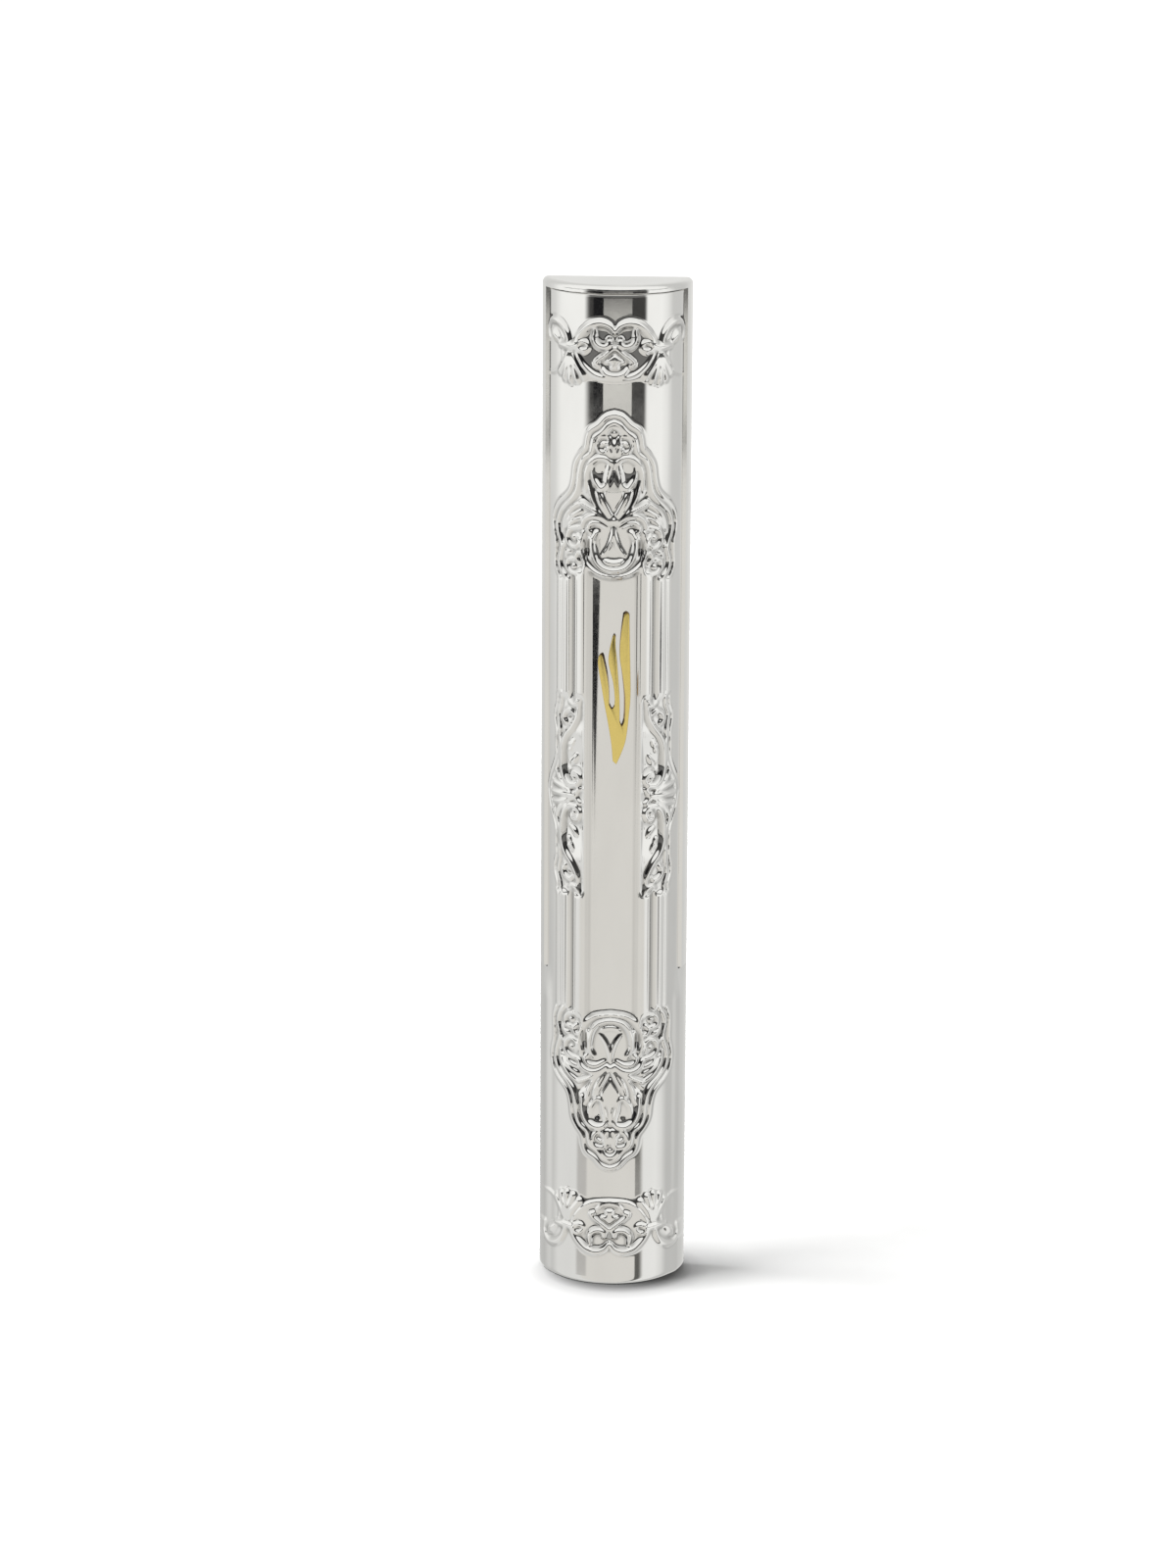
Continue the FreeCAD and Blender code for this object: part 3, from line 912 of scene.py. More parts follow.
    def heights(self, arc: np.ndarray, up: np.ndarray) -> np.ndarray:
        """Works out the whole relief.

        Args:
            arc: arc length from the middle line at each place.
            up: height above the floor at each place.

        Returns:
            The embossing's height above the cover's ground at each place.
        """
        shape = arc.shape
        arc = np.abs(arc).ravel()
        up = (self.mirror_height + np.abs(up - self.mirror_height)).ravel()
        base = self.ground(arc, up)
        total = np.zeros(arc.size)
        frame_strokes = [Ridge(self.outer_edge, (0.46, 0.46, 0.46), 0.36),
                         Ridge(self.inner_edge, (0.42, 0.42, 0.42), 0.34)]
        for stroke in (frame_strokes + self.band() + self.crest() + self.volutes() + self.shell()
                       + self.wings() + self.side()):
            stroke.raise_field(arc, up, total)
        sunk = np.zeros(arc.size)
        for groove in self.grooves():
            groove.raise_field(arc, up, sunk)
        lift = self.boost * total ** (1.0 / FIELD_POWER)
        raised = (np.maximum(base, 0.0) ** 4 + lift ** 4) ** 0.25
        open_share = np.clip(1.0 - lift / self.cover_depth, 0.0, 1.0)
        below = (np.minimum(base, 0.0) - sunk ** (1.0 / FIELD_POWER)) * open_share
        return self.soften((raised + below).reshape(shape))

    @staticmethod
    def soften(grid: np.ndarray, passes: int = 3) -> np.ndarray:
        """Rounds the creases of a grid of heights a little.

        Args:
            grid: the heights.
            passes: how often to round them.

        Returns:
            The rounded heights.
        """
        for _ in range(passes):
            wide = np.pad(grid, 1, mode="edge")
            grid = (wide[:-2, 1:-1] + wide[2:, 1:-1] + 2.0 * wide[1:-1, 1:-1]) / 4.0
            wide = np.pad(grid, 1, mode="edge")
            grid = (wide[1:-1, :-2] + wide[1:-1, 2:] + 2.0 * wide[1:-1, 1:-1]) / 4.0
        return grid


# ---------------------------------------------------------------- the case


@dataclass
class CaseSizes:
    """Driving sizes of the case, in millimetres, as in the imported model."""

    radius: float = 11.0
    relief: float = 0.45
    wall: float = 1.2
    back_wall: float = 1.4
    flange_wall: float = 0.7
    flange_depth: float = 3.8
    shoulder: float = 48.0
    seam_gap: float = 0.2
    slide_gap: float = 0.15
    rib_thickness: float = 0.9
    rib_width: float = 2.0
    bottom: float = 1.2
    corner: float = 0.6
    back_y: float = field(init=False, default=0.0)
    cover_top: float = field(init=False, default=0.0)

    def __post_init__(self) -> None:
        """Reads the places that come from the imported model."""
        self.back_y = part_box("back_tray")[1].y / MM
        self.cover_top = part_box("front_cover")[1].z / MM

    @property
    def ground(self) -> float:
        """Radius of the cover's ground."""
        return self.radius - self.relief

    @property
    def inner(self) -> float:
        """Inner radius of the cover."""
        return self.ground - self.wall

    @property
    def seam_y(self) -> float:
        """Where the cover's side edges end, above the shoulder."""
        return self.back_y - self.flange_depth - self.seam_gap

    def plan_point(self, radius: float, angle: float) -> Point2:
        """Finds a place seen from above.

        Args:
            radius: its distance from the case's axis.
            angle: its angle from the front middle line.

        Returns:
            Its x and y.
        """
        return radius * math.sin(angle), self.back_y - radius * math.cos(angle)

    def across(self, radius: float, y: float) -> float:
        """Finds how far out an arc round the case's axis is at a depth y."""
        return math.sqrt(radius ** 2 - (self.back_y - y) ** 2)


@dataclass(frozen=True)
class SkinGrid:
    """The cover's outer skin: points in rows upward, from left to right.

    The extra columns on each side belong to the boot only; the limit is the first row above it.
    """

    points: np.ndarray
    # painted shade at each point, from 0 to 1
    painted_shade: np.ndarray
    extra: int
    limit: int


@dataclass(frozen=True)
class FrontCover:
    """The embossed cover: a fine outer skin on a plain wall, slide ribs and the closed bottom."""

    sizes: CaseSizes
    embossing: Embossing = Embossing()
    top_round: float = 0.2
    bottom_round: float = 0.8
    side_rise: float = 0.36            # the ground rises by this much towards the side seams
    side_turn: Point2 = (56.0, 69.0)   # angles between which it does
    side_calm: float = 0.55            # share of the relief that is lost there
    boot_fade: Point2 = (-5.0, 1.0)    # the rise fades out around the shoulder
    flare: float = 0.12                # the foot is this much wider
    flare_height: float = 22.0
    fine: float = 0.135                # grid step where there is ornament
    steep: Point2 = (0.55, 1.5)        # slopes between which the painted shade sets in
    sunk: Point2 = (0.02, 0.12)        # depths between which it does

    def columns(self) -> np.ndarray:
        """Spreads the skin's columns.

        Returns:
            Their angles as far as the seams, from left to right.
        """
        s = self.sizes
        edge = math.acos((s.back_y - s.seam_y) / s.ground)
        step = self.fine / s.radius
        half = np.linspace(0.0, edge, int(edge / step) + 1)
        return np.concatenate([-half[:0:-1], half])

    def rows(self) -> np.ndarray:
        """Spreads the skin's rows: fine where there is ornament, wide elsewhere.

        Returns:
            Their heights, one of them just at the shoulder.
        """
        top, fine = self.sizes.cover_top, self.fine
        round_low = self.bottom_round * (1 - np.cos(np.linspace(0, np.pi / 2, 6)))
        round_high = top - self.top_round * (1 - np.cos(np.linspace(np.pi / 2, 0, 7)))
        zones = [(self.bottom_round, 4.0, 0.35), (4.0, 43.6, fine), (43.6, 59.6, 1.0),
                 (59.6, 91.6, fine * 1.15), (91.6, 107.4, 1.0), (107.4, 147.0, fine),
                 (147.0, top - self.top_round, 0.35)]          # from, to and step
        parts = [round_low[:-1]]
        for low, high, step in zones:
            parts.append(np.linspace(low, high, max(2, int(round((high - low) / step))), endpoint=False))
        rows = np.concatenate(parts + [round_high])
        shoulder = self.sizes.shoulder - self.sizes.seam_gap
        rows[np.abs(rows - shoulder).argmin()] = shoulder
        return rows

    def skin_radius(self, angle: np.ndarray, z: np.ndarray, relief: np.ndarray) -> np.ndarray:
        """Works out the outer surface, with its relief and rounded ends.

        Args:
            angle: angle from the front at each place.
            z: height at each place.
            relief: the ornament's height there.

        Returns:
            The cover's outer radius at each place.
        """
        s = self.sizes
        side = smoothstep(*self.side_turn, np.degrees(np.abs(angle)))
        boot = 1.0 - smoothstep(*self.boot_fade, z - s.shoulder)
        radius = s.ground + self.side_rise * side * boot + relief * (1.0 - self.side_calm * side)
        radius = radius + self.flare * (1.0 - smoothstep(0.0, self.flare_height, z)) * (1.0 - side)
        top = np.clip(z - (s.cover_top - self.top_round), 0.0, self.top_round)
        low = np.clip(self.bottom_round - z, 0.0, self.bottom_round)
        radius = radius - self.top_round + np.sqrt(np.maximum(self.top_round ** 2 - top ** 2, 0.0))
        return radius - self.bottom_round + np.sqrt(np.maximum(self.bottom_round ** 2 - low ** 2, 0.0))

    def painted_hollow_shade(self, relief: np.ndarray, rows: np.ndarray) -> np.ndarray:
        """Finds where the relief is steep or sunk, to lay painted shade there.

        Args:
            relief: the relief's height at each place of the skin.
            rows: the height of each row.

        Returns:
            The painted shade at each place, from 0 to 1.
        """
        slope = np.hypot(np.gradient(relief, self.fine, axis=1), np.gradient(relief, rows, axis=0))
        depth = self.embossing.soften(relief, 10) - relief
        return np.clip(0.36 * smoothstep(*self.steep, slope) + 0.5 * smoothstep(*self.sunk, depth), 0.0, 1.0)

    def boot_columns(self, edge: np.ndarray, angle: float) -> List[np.ndarray]:
        """Lays out the boot's side, from the seam round to the back.

        Args:
            edge: outer radius at the seam, on each row.
            angle: the seam's angle.

        Returns:
            For each column, the x and y of every row.
        """
        s = self.sizes
        centre = math.sqrt((s.radius - s.corner) ** 2 - s.corner ** 2)
        turn_start = math.atan2(centre, s.corner)
        columns = []
        for t in np.linspace(0.0, 1.0, 14)[1:]:
            at = angle + (turn_start - angle) * t
            radius = edge + (s.radius - edge) * float(smoothstep(0.0, 1.0, np.array(t)))
            columns.append(np.stack(s.plan_point(radius, at), 1))
        first = math.atan2(-s.corner, centre)
        for t in np.linspace(0.0, 1.0, 7)[1:]:
            turn = first + (math.pi / 2 - first) * t
            place = (centre + s.corner * math.cos(turn), s.back_y - s.corner + s.corner * math.sin(turn))
            columns.append(np.tile(place, (len(edge), 1)))
        return columns

    def skin_grid(self) -> SkinGrid:
        """Works out the outer skin.

        Returns:
            Its points, and the painted shade at each.
        """
        s = self.sizes
        angles, rows = self.columns(), self.rows()
        angle_grid, z_grid = np.meshgrid(angles, rows)
        relief = self.embossing.heights(angle_grid * s.radius, z_grid)
        radius = self.skin_radius(angle_grid, z_grid, relief)
        main = np.stack([radius * np.sin(angle_grid), s.back_y - radius * np.cos(angle_grid), z_grid], 2)
        low = np.clip(self.bottom_round - rows, 0.0, self.bottom_round)
        inset = self.bottom_round - np.sqrt(self.bottom_round ** 2 - low ** 2)
        boot = self.boot_columns(radius[:, -1] + inset, float(angles[-1]))
        extra = np.zeros((len(rows), len(boot), 3))
        for column, place in enumerate(boot):
            x, y = place[:, 0], place[:, 1]
            reach = np.hypot(x, y - s.back_y + 2.0)
            extra[:, column, 0] = x - inset * x / reach
            extra[:, column, 1] = y - inset * (y - s.back_y + 2.0) / reach
            extra[:, column, 2] = rows
        mirrored = extra[:, ::-1].copy()
        mirrored[..., 0] *= -1
        grid = np.concatenate([mirrored, main, extra], 1)
        limit = int(np.nonzero(rows > s.shoulder - s.seam_gap + 1e-6)[0][0])
        painted_shade = np.pad(self.painted_hollow_shade(relief, rows), ((0, 0), (len(boot), len(boot))))
        return SkinGrid(grid, painted_shade, len(boot), limit)

    def shell_mesh(self) -> Tuple[List[Point3], List[Face], List[float]]:
        """The closed wall: fine skin outside, coarse wall inside, and edges that join them.

        Returns:
            The wall's vertices and faces, and the painted shade at each vertex.
        """
        s = self.sizes
        skin = self.skin_grid()
        grid, extra, limit = skin.points, skin.extra, skin.limit
        n_rows, n_cols = grid.shape[:2]
        main_low, main_high = extra, n_cols - 1 - extra
        shoulder_row = limit - 1
        number = -np.ones((n_rows, n_cols), int)
        used = np.zeros((n_rows, n_cols), bool)
        used[:, main_low:main_high + 1] = True
        used[:shoulder_row + 1] = True
        number[used] = np.arange(used.sum())
        vertices = [tuple(p) for p in grid[used]]
        faces: List[Face] = []
        for r in range(n_rows - 1):
            low, high = (0, n_cols - 1) if r + 1 <= shoulder_row else (main_low, main_high)
            a, b = number[r], number[r + 1]
            faces.extend((a[c], a[c + 1], b[c + 1], b[c]) for c in range(low, high))
        coarse_rows = self.pick(n_rows, 26, (shoulder_row,))
        coarse_cols = sorted(set([0, n_cols - 1, main_low, main_high, extra // 2, n_cols - 1 - extra // 2]
                                 + list(np.linspace(main_low, main_high, 19).astype(int))))
        inner = {}
        for r in coarse_rows:
            for c in coarse_cols:
                if not used[r, c]:
                    continue
                x, y, z = grid[r, c]
                angle = math.atan2(x, s.back_y - y)
                if c in (0, n_cols - 1):
                    angle = math.copysign(math.pi / 2, x)
                place = s.plan_point(s.inner, angle)
                if c in (main_low, main_high) and r > shoulder_row:
                    place = math.copysign(s.across(s.inner, s.seam_y), x), s.seam_y
                inner[r, c] = len(vertices)
                vertices.append((*place, z))
        for i, r in enumerate(coarse_rows[:-1]):
            r2 = coarse_rows[i + 1]
            for j, c in enumerate(coarse_cols[:-1]):
                c2 = coarse_cols[j + 1]
                if all(k in inner for k in ((r, c), (r2, c), (r, c2), (r2, c2))) and not (
                        r >= shoulder_row and (c2 <= main_low or c >= main_high)):
                    faces.append((inner[r, c], inner[r2, c], inner[r2, c2], inner[r, c2]))
        self.join_edges(faces, number, inner, coarse_rows, coarse_cols, shoulder_row,
                        (main_low, main_high))
        painted_shade = list(skin.painted_shade[used]) + [0.0] * (len(vertices) - int(used.sum()))
        return vertices, faces, painted_shade

    @staticmethod
    def pick(count: int, parts: int, also: Sequence[int]) -> List[int]:
        """Picks evenly spread row numbers.

        Args:
            count: how many rows there are.
            parts: how many to pick.
            also: others to pick.

        Returns:
            The numbers, with both ends.
        """
        return sorted(set(np.linspace(0, count - 1, parts).astype(int)) | set(also))

    @staticmethod
    def join_edges(faces: List[Face], number: np.ndarray, inner: Dict[Tuple[int, int], int],
                   coarse_rows: List[int], coarse_cols: List[int], shoulder_row: int,
                   main: Tuple[int, int]) -> None:
        """Closes the wall along its top, bottom, sides, seams and shoulders.

        Args:
            faces: the wall's faces, added to in place.
            number: the skin's vertex numbers by row and column.
            inner: the inner wall's vertex numbers.
            coarse_rows: rows that the inner wall has.
            coarse_cols: columns that the inner wall has.
            shoulder_row: the boot's last row.
            main: first and last column above the boot.
        """
        n_rows, n_cols = number.shape

        def along_row(r: int, c: int, c2: int) -> None:
            """Joins the skin to the inner wall along a row, between two columns."""
            run = [int(number[r, k]) for k in range(c, c2 + 1)]
            faces.append(tuple(run + [inner[r, c2], inner[r, c]]))

        def along_column(c: int, r: int, r2: int) -> None:
            """Joins the skin to the inner wall along a column, between two rows."""
            run = [int(number[k, c]) for k in range(r, r2 + 1)]
            faces.append(tuple(run + [inner[r2, c], inner[r, c]]))

        for c, c2 in zip(coarse_cols[:-1], coarse_cols[1:]):
            along_row(0, c, c2)
            if main[0] <= c and c2 <= main[1]:
                along_row(n_rows - 1, c, c2)
            else:
                along_row(shoulder_row, c, c2)
        for r, r2 in zip(coarse_rows[:-1], coarse_rows[1:]):
            for side, seam in ((0, main[0]), (n_cols - 1, main[1])):
                along_column(side if r2 <= shoulder_row else seam, r, r2)

    def floor_mesh(self) -> bpy.types.Object:
        """Makes the plate that closes the boot's bottom.

        Returns:
            The plate.
        """
        s = self.sizes
        radius = s.inner + s.wall / 3
        turns = np.linspace(-math.pi / 2, math.pi / 2, 61)
        plan = [s.plan_point(radius, a) for a in turns]
        return prism("cover_bottom", plan, 0.02, s.bottom)

    def ribs(self) -> List[bpy.types.Object]:
        """Makes the lapped edges and the slide ribs inside.

        Returns:
            One strip for each side.
        """
        s = self.sizes
        lap = s.radius - s.flange_wall - s.slide_gap
        rib_back = s.back_y - s.back_wall - s.slide_gap
        rib_front = rib_back - s.rib_thickness
        join = s.seam_y - 0.5
        outer = [(s.across(lap, y), y) for y in np.linspace(join, rib_back, 9)]
        inside = [(s.across(s.inner - 0.01, y), y) for y in np.linspace(rib_front, join, 7)]
        tip = s.inner - s.rib_width
        plan = outer + [(tip, rib_back), (tip, rib_front)] + inside
        return [prism("cover_slide_rib_" + side.name.lower(), [(side.value * x, y) for x, y in plan],
                      s.bottom / 2, s.cover_top) for side in Side]

    def build(self, chrome: bpy.types.Material) -> None:
        """Makes the cover's pieces and puts them in place of the plain one.

        Args:
            chrome: their finish.
        """
        vertices, faces, painted_shade = self.shell_mesh()
        skin = new_object("front_cover_embossed", vertices, faces)
        # the hollow attribute carries the painted shade to the chrome
        skin.data.attributes.new("hollow", "FLOAT", "POINT").data.foreach_set("value", painted_shade)
        for piece in [skin, self.floor_mesh()] + self.ribs():
            dress(piece, chrome, "front", "front_cover")


@dataclass(frozen=True)
class GoldShin:
    """The three-tongued emblem, with a flat face, rounded bevels and a seat on the panel.

    Its outline is in stretches of x and height above its foot; they meet in corners.
    """

    sizes: CaseSizes
    bevel: float = 0.16
    face_drop: float = 0.05
    seat_drop: float = 0.35
    stretches: Tuple[Tuple[Point2, ...], ...] = (
        ((0.59, 0), (1.29, 1.62), (1.98, 3.79), (2.42, 7.68), (2.61, 10.93), (2.48, 17.23), (2.38, 22.36)),
        ((2.38, 22.36), (2.15, 22.7), (1.61, 22.5)),
        ((1.61, 22.5), (1.22, 19.89), (1.01, 17.53), (1.08, 15.56), (1.41, 13.59), (1.8, 10.39),
         (1.83, 7.98), (1.72, 6.5)),
        ((1.72, 6.5), (1.37, 5.76), (1.06, 6.5)),
        ((1.06, 6.5), (1.0, 9.95), (0.81, 12.85), (0.6, 15.56), (0.4, 17.53), (0.39, 19.2)),
        ((0.39, 19.2), (0.16, 19.45), (-0.09, 19.11)),
        ((-0.09, 19.11), (-0.49, 17.23), (-0.65, 15.56), (-0.4, 14.08), (0.04, 12.36), (0.3, 10.14),
         (0.26, 8.81)),
        ((0.26, 8.81), (-0.13, 8.32), (-0.52, 8.96)),
        ((-0.52, 8.96), (-0.54, 10.64), (-0.69, 12.36), (-1.0, 14.08), (-1.5, 16.15)),
        ((-1.5, 16.15), (-1.79, 16.5), (-2.11, 16.15)),
        ((-2.11, 16.15), (-2.19, 15.26), (-2.02, 13.79), (-1.68, 11.87), (-1.19, 8.96), (-0.68, 6.25),
         (-0.16, 3.05), (0.1, 0)))

    def build(self, gold: bpy.types.Material) -> None:
        """Makes the emblem and puts it in place of the plain one.

        Args:
            gold: its finish.
        """
        s = self.sizes
        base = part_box("gold_shin")[0].z / MM
        outline: List[Point2] = []
        for points in self.stretches:
            outline += [(float(x), float(z)) for x, z in smooth_curve(points, 6)[:-1]]
        front = s.back_y - s.radius + self.face_drop
        back = s.back_y - s.ground + self.seat_drop
        work = bmesh.new()
        ring = [work.verts.new((x * MM, back * MM, (base + z) * MM)) for x, z in outline]
        face = work.faces.new(ring)
        lifted = bmesh.ops.extrude_face_region(work, geom=[face])["geom"]
        top = [g for g in lifted if isinstance(g, bmesh.types.BMVert)]
        bmesh.ops.translate(work, verts=top, vec=(0, (front - back) * MM, 0))
        rim = [g for g in lifted if isinstance(g, bmesh.types.BMEdge)]
        bmesh.ops.recalc_face_normals(work, faces=work.faces)
        bmesh.ops.bevel(work, geom=rim, offset=self.bevel * MM, segments=4, profile=0.6,
                        affect="EDGES", clamp_overlap=True)
        bmesh.ops.recalc_face_normals(work, faces=work.faces)
        mesh = bpy.data.meshes.new("gold_shin_bevelled")
        work.to_mesh(mesh)
        work.free()
        piece = link_smooth("gold_shin_bevelled", mesh, 50.0)
        dress(piece, gold, "front", "gold_shin")


@dataclass(frozen=True)
class BackTray:
    """The tray behind the cover, with its cap."""

    node: str = "back_tray"

    def build(self, chrome: bpy.types.Material) -> None:
        """Plates the tray.

        Args:
            chrome: its finish.
        """
        refinish(self.node, chrome)


@dataclass(frozen=True)
class ParchmentRoll:
    """The rolled parchment and the film round it."""

    roll: str = "parchment_scroll"
    sleeve: str = "scroll_sleeve"
    skin: ParchmentFinish = ParchmentFinish()
    film: FilmFinish = FilmFinish()

    def build(self) -> None:
        """Gives the roll and its film their finishes."""
        refinish(self.roll, self.skin.material())
        refinish(self.sleeve, self.film.material())


@dataclass(frozen=True)
class Tapes:
    """The foam tapes on the tray's back and the liners that cover them."""

    foam: FoamFinish = FoamFinish()
    liner: LinerFinish = LinerFinish()

    def build(self) -> None:
        """Gives the tapes and liners their finishes."""
        foam, liner = self.foam.material(), self.liner.material()
        for level in Level:
            refinish(level.value + "_tape_pad", foam)
            refinish(level.value + "_tape_liner", liner)


# ---------------------------------------------------------------- the studio


@dataclass(frozen=True)
class Board:
    """A patch of the surroundings, cut out by smooth edges.

    Each edge is two directions in degrees, where the patch has faded out and where it is full.
    """

    colour: Colour
    azimuth: Tuple[Point2, ...] = ()
    elevation: Tuple[Point2, ...] = ()
    side: Tuple[Point2, ...] = ()


class TentWorld(NodeTree):
    """The light around the case, drawn by direction: a white tent, a dark room and a grey table.

    Directions are an azimuth from the front, positive to the right, and an elevation, in degrees.
    Pairs of directions are edges like a board's: where something has faded out, and where it is full.
    """

    half_turn = 180.0
    dark: Colour = (0.012, 0.012, 0.013)
    yellowing = 0.975
    tent: Tuple[Point2, ...] = (
        (-180, 0.80), (-158, 0.72), (-134, 0.67), (-116, 0.74), (-99, 0.95), (-60, 0.97), (0, 0.97),
        (58, 0.95), (78, 0.96), (90, 0.85), (102, 0.63), (122, 0.62), (142, 0.70), (160, 0.80), (180, 0.80))
    table_edge: Point2 = (-9.0, -17.5)
    table_turn: Point2 = (20.0, -20.0)
    table_depth: Point2 = (0.11, 0.1)          # on the right, and more on the left
    opening: Tuple[Point2, ...] = ((-54.0, -40.0), (52.0, 44.0))
    opening_left: Tuple[Point2, ...] = ((-38.5, -35.5), (-8.5, -11.5))
    near_wall: Tuple[Point2, ...] = ((-9.75, -9.45), (-4.6, -6.6))
    far_wall: Tuple[Point2, ...] = ((1.2, 3.2), (22.0, 20.0))
    stand: Tuple[Point2, ...] = ((-16.3, -15.7), (-10.8, -11.4))
    flag_azimuth, flag_tip, flag_spread, flag_edge = -31.5, -13.75, 2.9, (-0.1, 0.6)
    flag_top: Point2 = (-10.6, -11.1)

    def __init__(self) -> None:
        """Starts a world and its azimuth and elevation values."""
        self.world = bpy.data.worlds.new("tent")
        self.world.use_nodes = True
        super().__init__(self.world.node_tree)
        place = self.add("ShaderNodeTexCoord").outputs["Generated"]
        split = self.add("ShaderNodeSeparateXYZ", Vector=place).outputs
        back = self.math("MULTIPLY", split["Y"], -1.0)
        self.azimuth = self.degrees(self.math("ARCTAN2", split["X"], back))
        self.elevation = self.degrees(self.math("ARCSINE", split["Z"]))
        self.side = self.math("ABSOLUTE", self.azimuth)

    def degrees(self, angle: Value) -> bpy.types.NodeSocket:
        """Turns radians into degrees."""
        return self.math("MULTIPLY", angle, self.half_turn / math.pi)

    def rise(self, value: Value, low: float, high: float) -> bpy.types.NodeSocket:
        """Makes a smooth step.

        Args:
            value: the value that decides.
            low: where the step is 0.
            high: where the step is 1, above low or below it.

        Returns:
            The step's height.
        """
        if low > high:
            return self.remap(value, 1.0, 0.0, high, low, "SMOOTHSTEP")
        return self.remap(value, 0.0, 1.0, low, high, "SMOOTHSTEP")

    def mask(self, board: Board) -> bpy.types.NodeSocket:
        """Joins a board's edges.

        Args:
            board: the board.

        Returns:
            1 on the board and 0 away from it.
        """
        steps = [self.rise(value, *edge) for value, edges in (
            (self.azimuth, board.azimuth), (self.elevation, board.elevation), (self.side, board.side))
            for edge in edges]
        result = steps[0]
        for step in steps[1:]:
            result = self.math("MULTIPLY", result, step)
        return result

    def flag(self) -> bpy.types.NodeSocket:
        """A dark board that narrows downward to a tip.

        Returns:
            Its mask.
        """
        above = self.math("SUBTRACT", self.elevation, self.flag_tip)
        half = self.math("MULTIPLY", above, self.flag_spread)
        away = self.math("ABSOLUTE", self.math("SUBTRACT", self.azimuth, self.flag_azimuth))
        inside = self.rise(self.math("SUBTRACT", half, away), *self.flag_edge)
        return self.math("MULTIPLY", inside, self.rise(self.elevation, *self.flag_top))

    def boards(self) -> List[Board]:
        """Lists the patches, from the widest to the smallest.

        Returns:
            The boards in the order in which they are painted.
        """
        light_stand = ((63.5, 65.5), (71.0, 69.0))
        return [
            Board((0.73, 0.715, 0.675), side=((56.0, 46.0),), elevation=((-8.6, -10.4),)),
            Board((0.08, 0.08, 0.077), side=((24.0, 36.0), (94.0, 82.0)),
                  elevation=((2.2, 4.6), (10.2, 7.8))),
            Board((0.17, 0.168, 0.162), self.opening, ((-9.2, -8.0), (5.6, 4.4))),
            Board((0.05, 0.049, 0.047), self.opening, self.near_wall),
            Board((0.05, 0.049, 0.047), self.opening, self.far_wall),
            Board(self.dark, self.opening + self.opening_left, self.near_wall),
            Board(self.dark, self.opening + self.opening_left, self.far_wall),
            Board((0.67, 0.66, 0.62), ((-21.2, -19.8), (25.7, 24.3)), ((-9.44, -9.32), (-7.94, -8.06))),
            Board((0.34, 0.33, 0.32), light_stand, self.stand),
            Board(self.dark, light_stand, self.stand + ((-12.5, -12.1), (-11.4, -11.8))),
            Board((0.36, 0.35, 0.33), ((-79.5, -76.5), (-68.5, -71.5)), self.stand),
            Board((0.12, 0.118, 0.11), ((39.0, 41.0), (56.0, 46.0)), ((-16.8, -17.6),)),
            Board((0.5, 0.49, 0.47), ((-62.0, -55.0), (-38.0, -44.0)), ((-19.7, -18.7), (-16.5, -17.5))),
        ]

    def around(self) -> bpy.types.NodeSocket:
        """The tent's grey all the way round, with the darker table below the horizon.

        Returns:
            The colour by direction.
        """
        turn = 2.0 * self.half_turn
        place = self.math("MULTIPLY", self.math("ADD", self.azimuth, self.half_turn), 1.0 / turn)
        tent = self.ramp(place, *(((azimuth + self.half_turn) / turn, (grey, grey, grey * self.yellowing))
                                  for azimuth, grey in self.tent))
        right, more = self.table_depth
        left = self.rise(self.azimuth, *self.table_turn)
        depth = self.math("ADD", self.math("MULTIPLY", left, more), right)
        below = self.math("MULTIPLY", self.rise(self.elevation, *self.table_edge), depth)
        return self.mix(tent, self.math("SUBTRACT", 1.0, below), 1.0, "MULTIPLY")

    def build(self) -> None:
        """Paints the surroundings and hangs them round the scene."""
        colour = self.around()
        for board in self.boards():
            colour = self.mix(colour, board.colour, self.mask(board))
        colour = self.mix(colour, self.dark, self.flag())
        shade = self.nodes["Background"].inputs
        self.feed(shade["Color"], colour)
        self.feed(shade["Strength"], 1.0)
        bpy.context.scene.world = self.world


@dataclass(frozen=True)
class Floor:
    """A pale round floor that curves up far from the case, on every side; sizes in metres."""

    flat: float = 2.4
    curve: float = 0.9
    top: float = 3.0
    turns: int = 72
    steps: int = 12
    finish: FloorFinish = FloorFinish()

    def build(self) -> None:
        """Makes the floor, which shiny things don't show."""
        n = self.turns
        profile = [(self.flat + self.curve * math.sin(t), self.curve * (1 - math.cos(t)))
                   for t in np.linspace(0.0, math.pi / 2, self.steps)] + [(self.flat + self.curve, self.top)]
        around = [2 * math.pi * i / n for i in range(n)]
        vertices = [(r * math.cos(a), r * math.sin(a), z) for r, z in profile for a in around]
        faces: List[Face] = [tuple(range(n))]
        for base in range(0, (len(profile) - 1) * n, n):
            faces += [(base + i, base + (i + 1) % n, base + n + (i + 1) % n, base + n + i) for i in range(n)]
        mesh = bpy.data.meshes.new("floor")
        mesh.from_pydata(vertices, [], faces)
        floor = link_smooth("floor", mesh, 30.0)
        floor.data.materials.append(self.finish.material())
        floor.visible_glossy = False


@dataclass(frozen=True)
class Lamp:
    """A square soft lamp aimed at the case's foot; sizes in metres, power in watts."""

    name: str
    place: Point3
    size: float
    power: float
    aim: Point3 = (0.0, 0.0, 0.05)

    def build(self) -> None:
        """Makes the lamp, which neither the camera nor a shiny thing sees."""
        light = bpy.data.lights.new(self.name, "AREA")
        light.shape = "SQUARE"
        light.size = self.size
        light.energy = self.power
        lamp = bpy.data.objects.new(self.name, light)
        lamp.location = self.place
        lamp.rotation_euler = (Vector(self.aim) - Vector(self.place)).to_track_quat("-Z", "Y").to_euler()
        lamp.visible_camera = False
        lamp.visible_glossy = False
        bpy.context.scene.collection.objects.link(lamp)


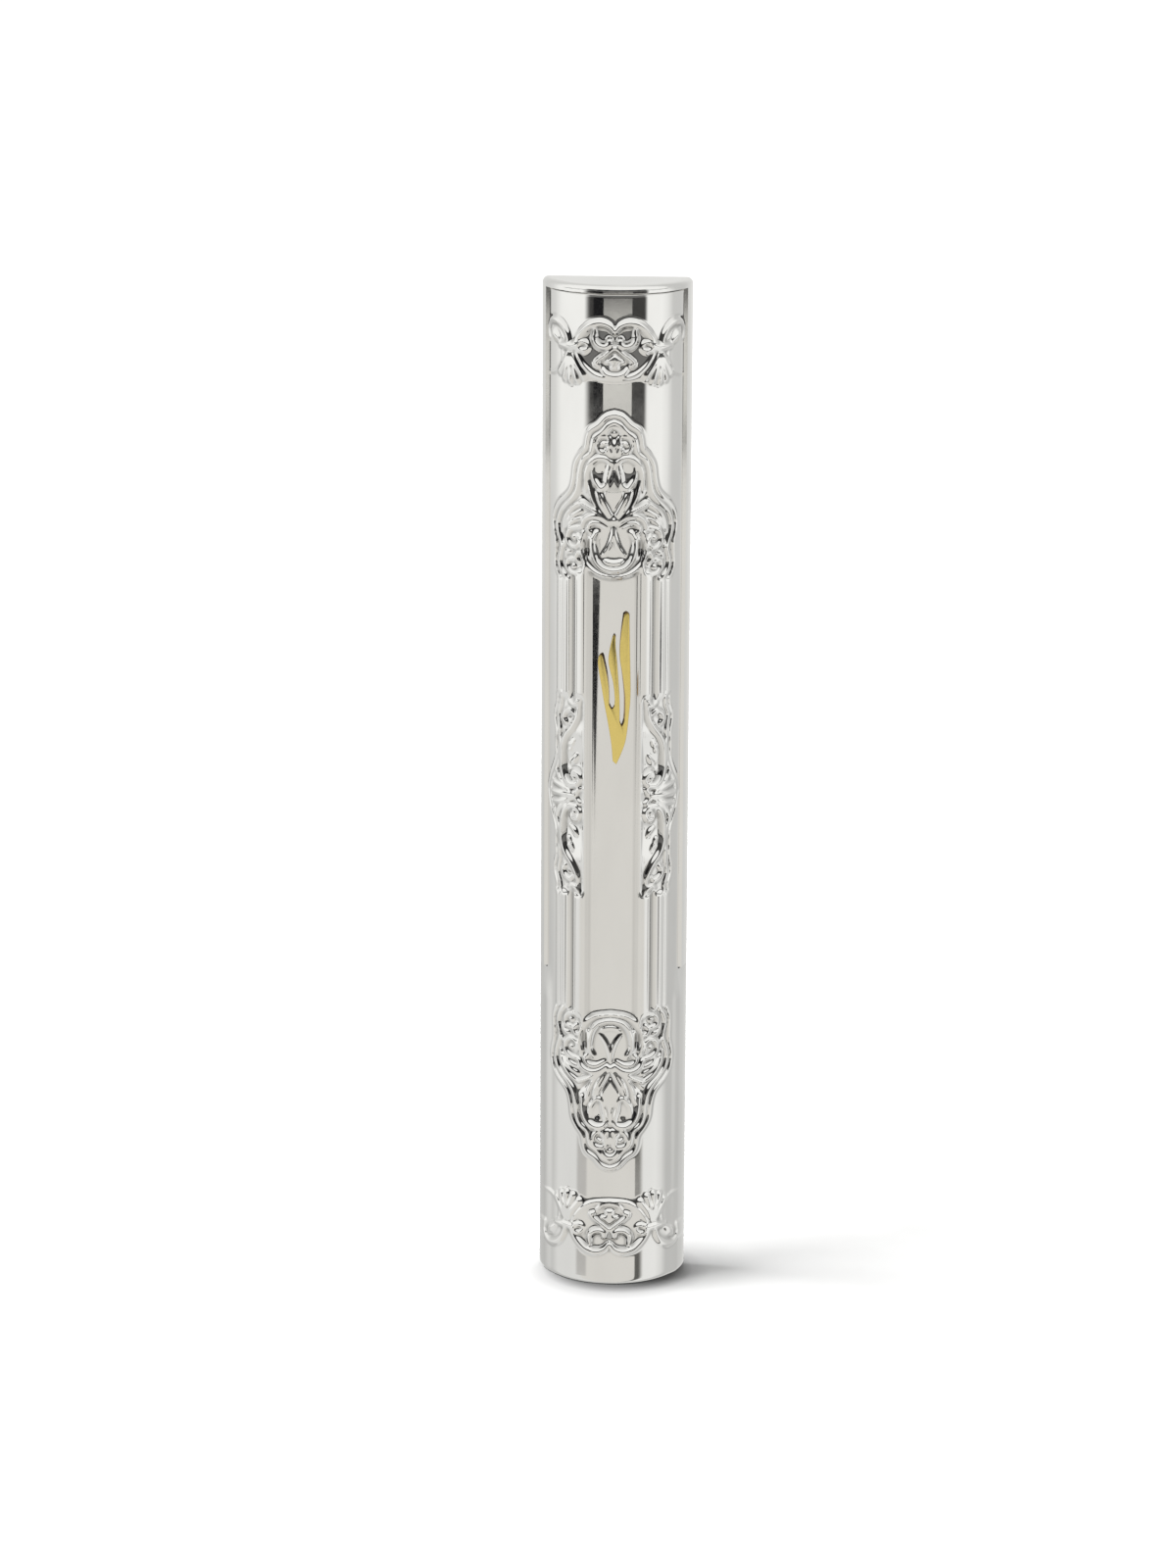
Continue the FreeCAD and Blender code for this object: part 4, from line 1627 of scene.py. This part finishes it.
@dataclass(frozen=True)
class Camera:
    """The camera: a little to the right of the case, above it, and aimed a little to its left.

    Angles are in degrees, distances in metres, and the lens and its sensor in millimetres.
    """

    azimuth: float = 2.09
    elevation: float = 13.47
    roll: float = 0.373
    distance: float = 0.7424
    aside: float = 0.0040
    target: Point3 = (0.0, 0.005, 0.0751)
    lens: float = 114.1
    sensor: float = 36.0

    def build(self) -> None:
        """Makes the camera and gives it to the scene."""
        azimuth, elevation, roll = (math.radians(a) for a in (self.azimuth, self.elevation, self.roll))
        back = Vector((math.sin(azimuth) * math.cos(elevation), -math.cos(azimuth) * math.cos(elevation),
                       math.sin(elevation)))
        right = Vector((math.cos(azimuth), math.sin(azimuth), 0.0))
        place = Vector(self.target) + back * self.distance
        back = (back * self.distance + right * self.aside).normalized()
        right = (right - back * right.dot(back)).normalized()
        across = right * math.cos(roll) + back.cross(right) * math.sin(roll)
        data = bpy.data.cameras.new("camera")
        data.lens = self.lens
        data.sensor_width = self.sensor
        camera = bpy.data.objects.new("camera", data)
        camera.matrix_world = Matrix((across, back.cross(across), back)).transposed().to_4x4()
        camera.location = place
        bpy.context.scene.collection.objects.link(camera)
        bpy.context.scene.camera = camera


@dataclass(frozen=True)
class Studio:
    """Floor with its sweep, the surroundings, lamps and camera."""

    floor: Floor = Floor()
    lamps: Tuple[Lamp, ...] = (Lamp("key", (-0.6, -0.12, 0.66), 0.55, 24.0),
                               Lamp("overhead", (0.05, 0.6, 0.8), 0.6, 4.0))
    camera: Camera = Camera()

    def build(self) -> None:
        """Makes the whole studio."""
        self.floor.build()
        TentWorld().build()
        for lamp in self.lamps:
            lamp.build()
        self.camera.build()
        bpy.context.scene.view_settings.view_transform = "Standard"


def main() -> None:
    """Builds the case's pieces in order, then the studio."""
    logging.basicConfig(level=logging.INFO, format="%(name)s: %(message)s")
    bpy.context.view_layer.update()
    sizes = CaseSizes()
    chrome = PlatedFinish().material()
    gold = GoldFinish().material()
    FrontCover(sizes).build(chrome)
    GoldShin(sizes).build(gold)
    BackTray().build(chrome)
    ParchmentRoll().build()
    Tapes().build()
    Studio().build()
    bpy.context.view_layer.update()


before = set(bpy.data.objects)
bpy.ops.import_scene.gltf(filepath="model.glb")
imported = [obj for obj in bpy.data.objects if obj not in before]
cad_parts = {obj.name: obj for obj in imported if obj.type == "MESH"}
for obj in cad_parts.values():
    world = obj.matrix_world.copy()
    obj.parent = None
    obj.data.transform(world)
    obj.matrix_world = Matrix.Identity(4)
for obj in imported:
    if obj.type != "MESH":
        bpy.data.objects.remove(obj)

if __name__ == "__main__":
    main()
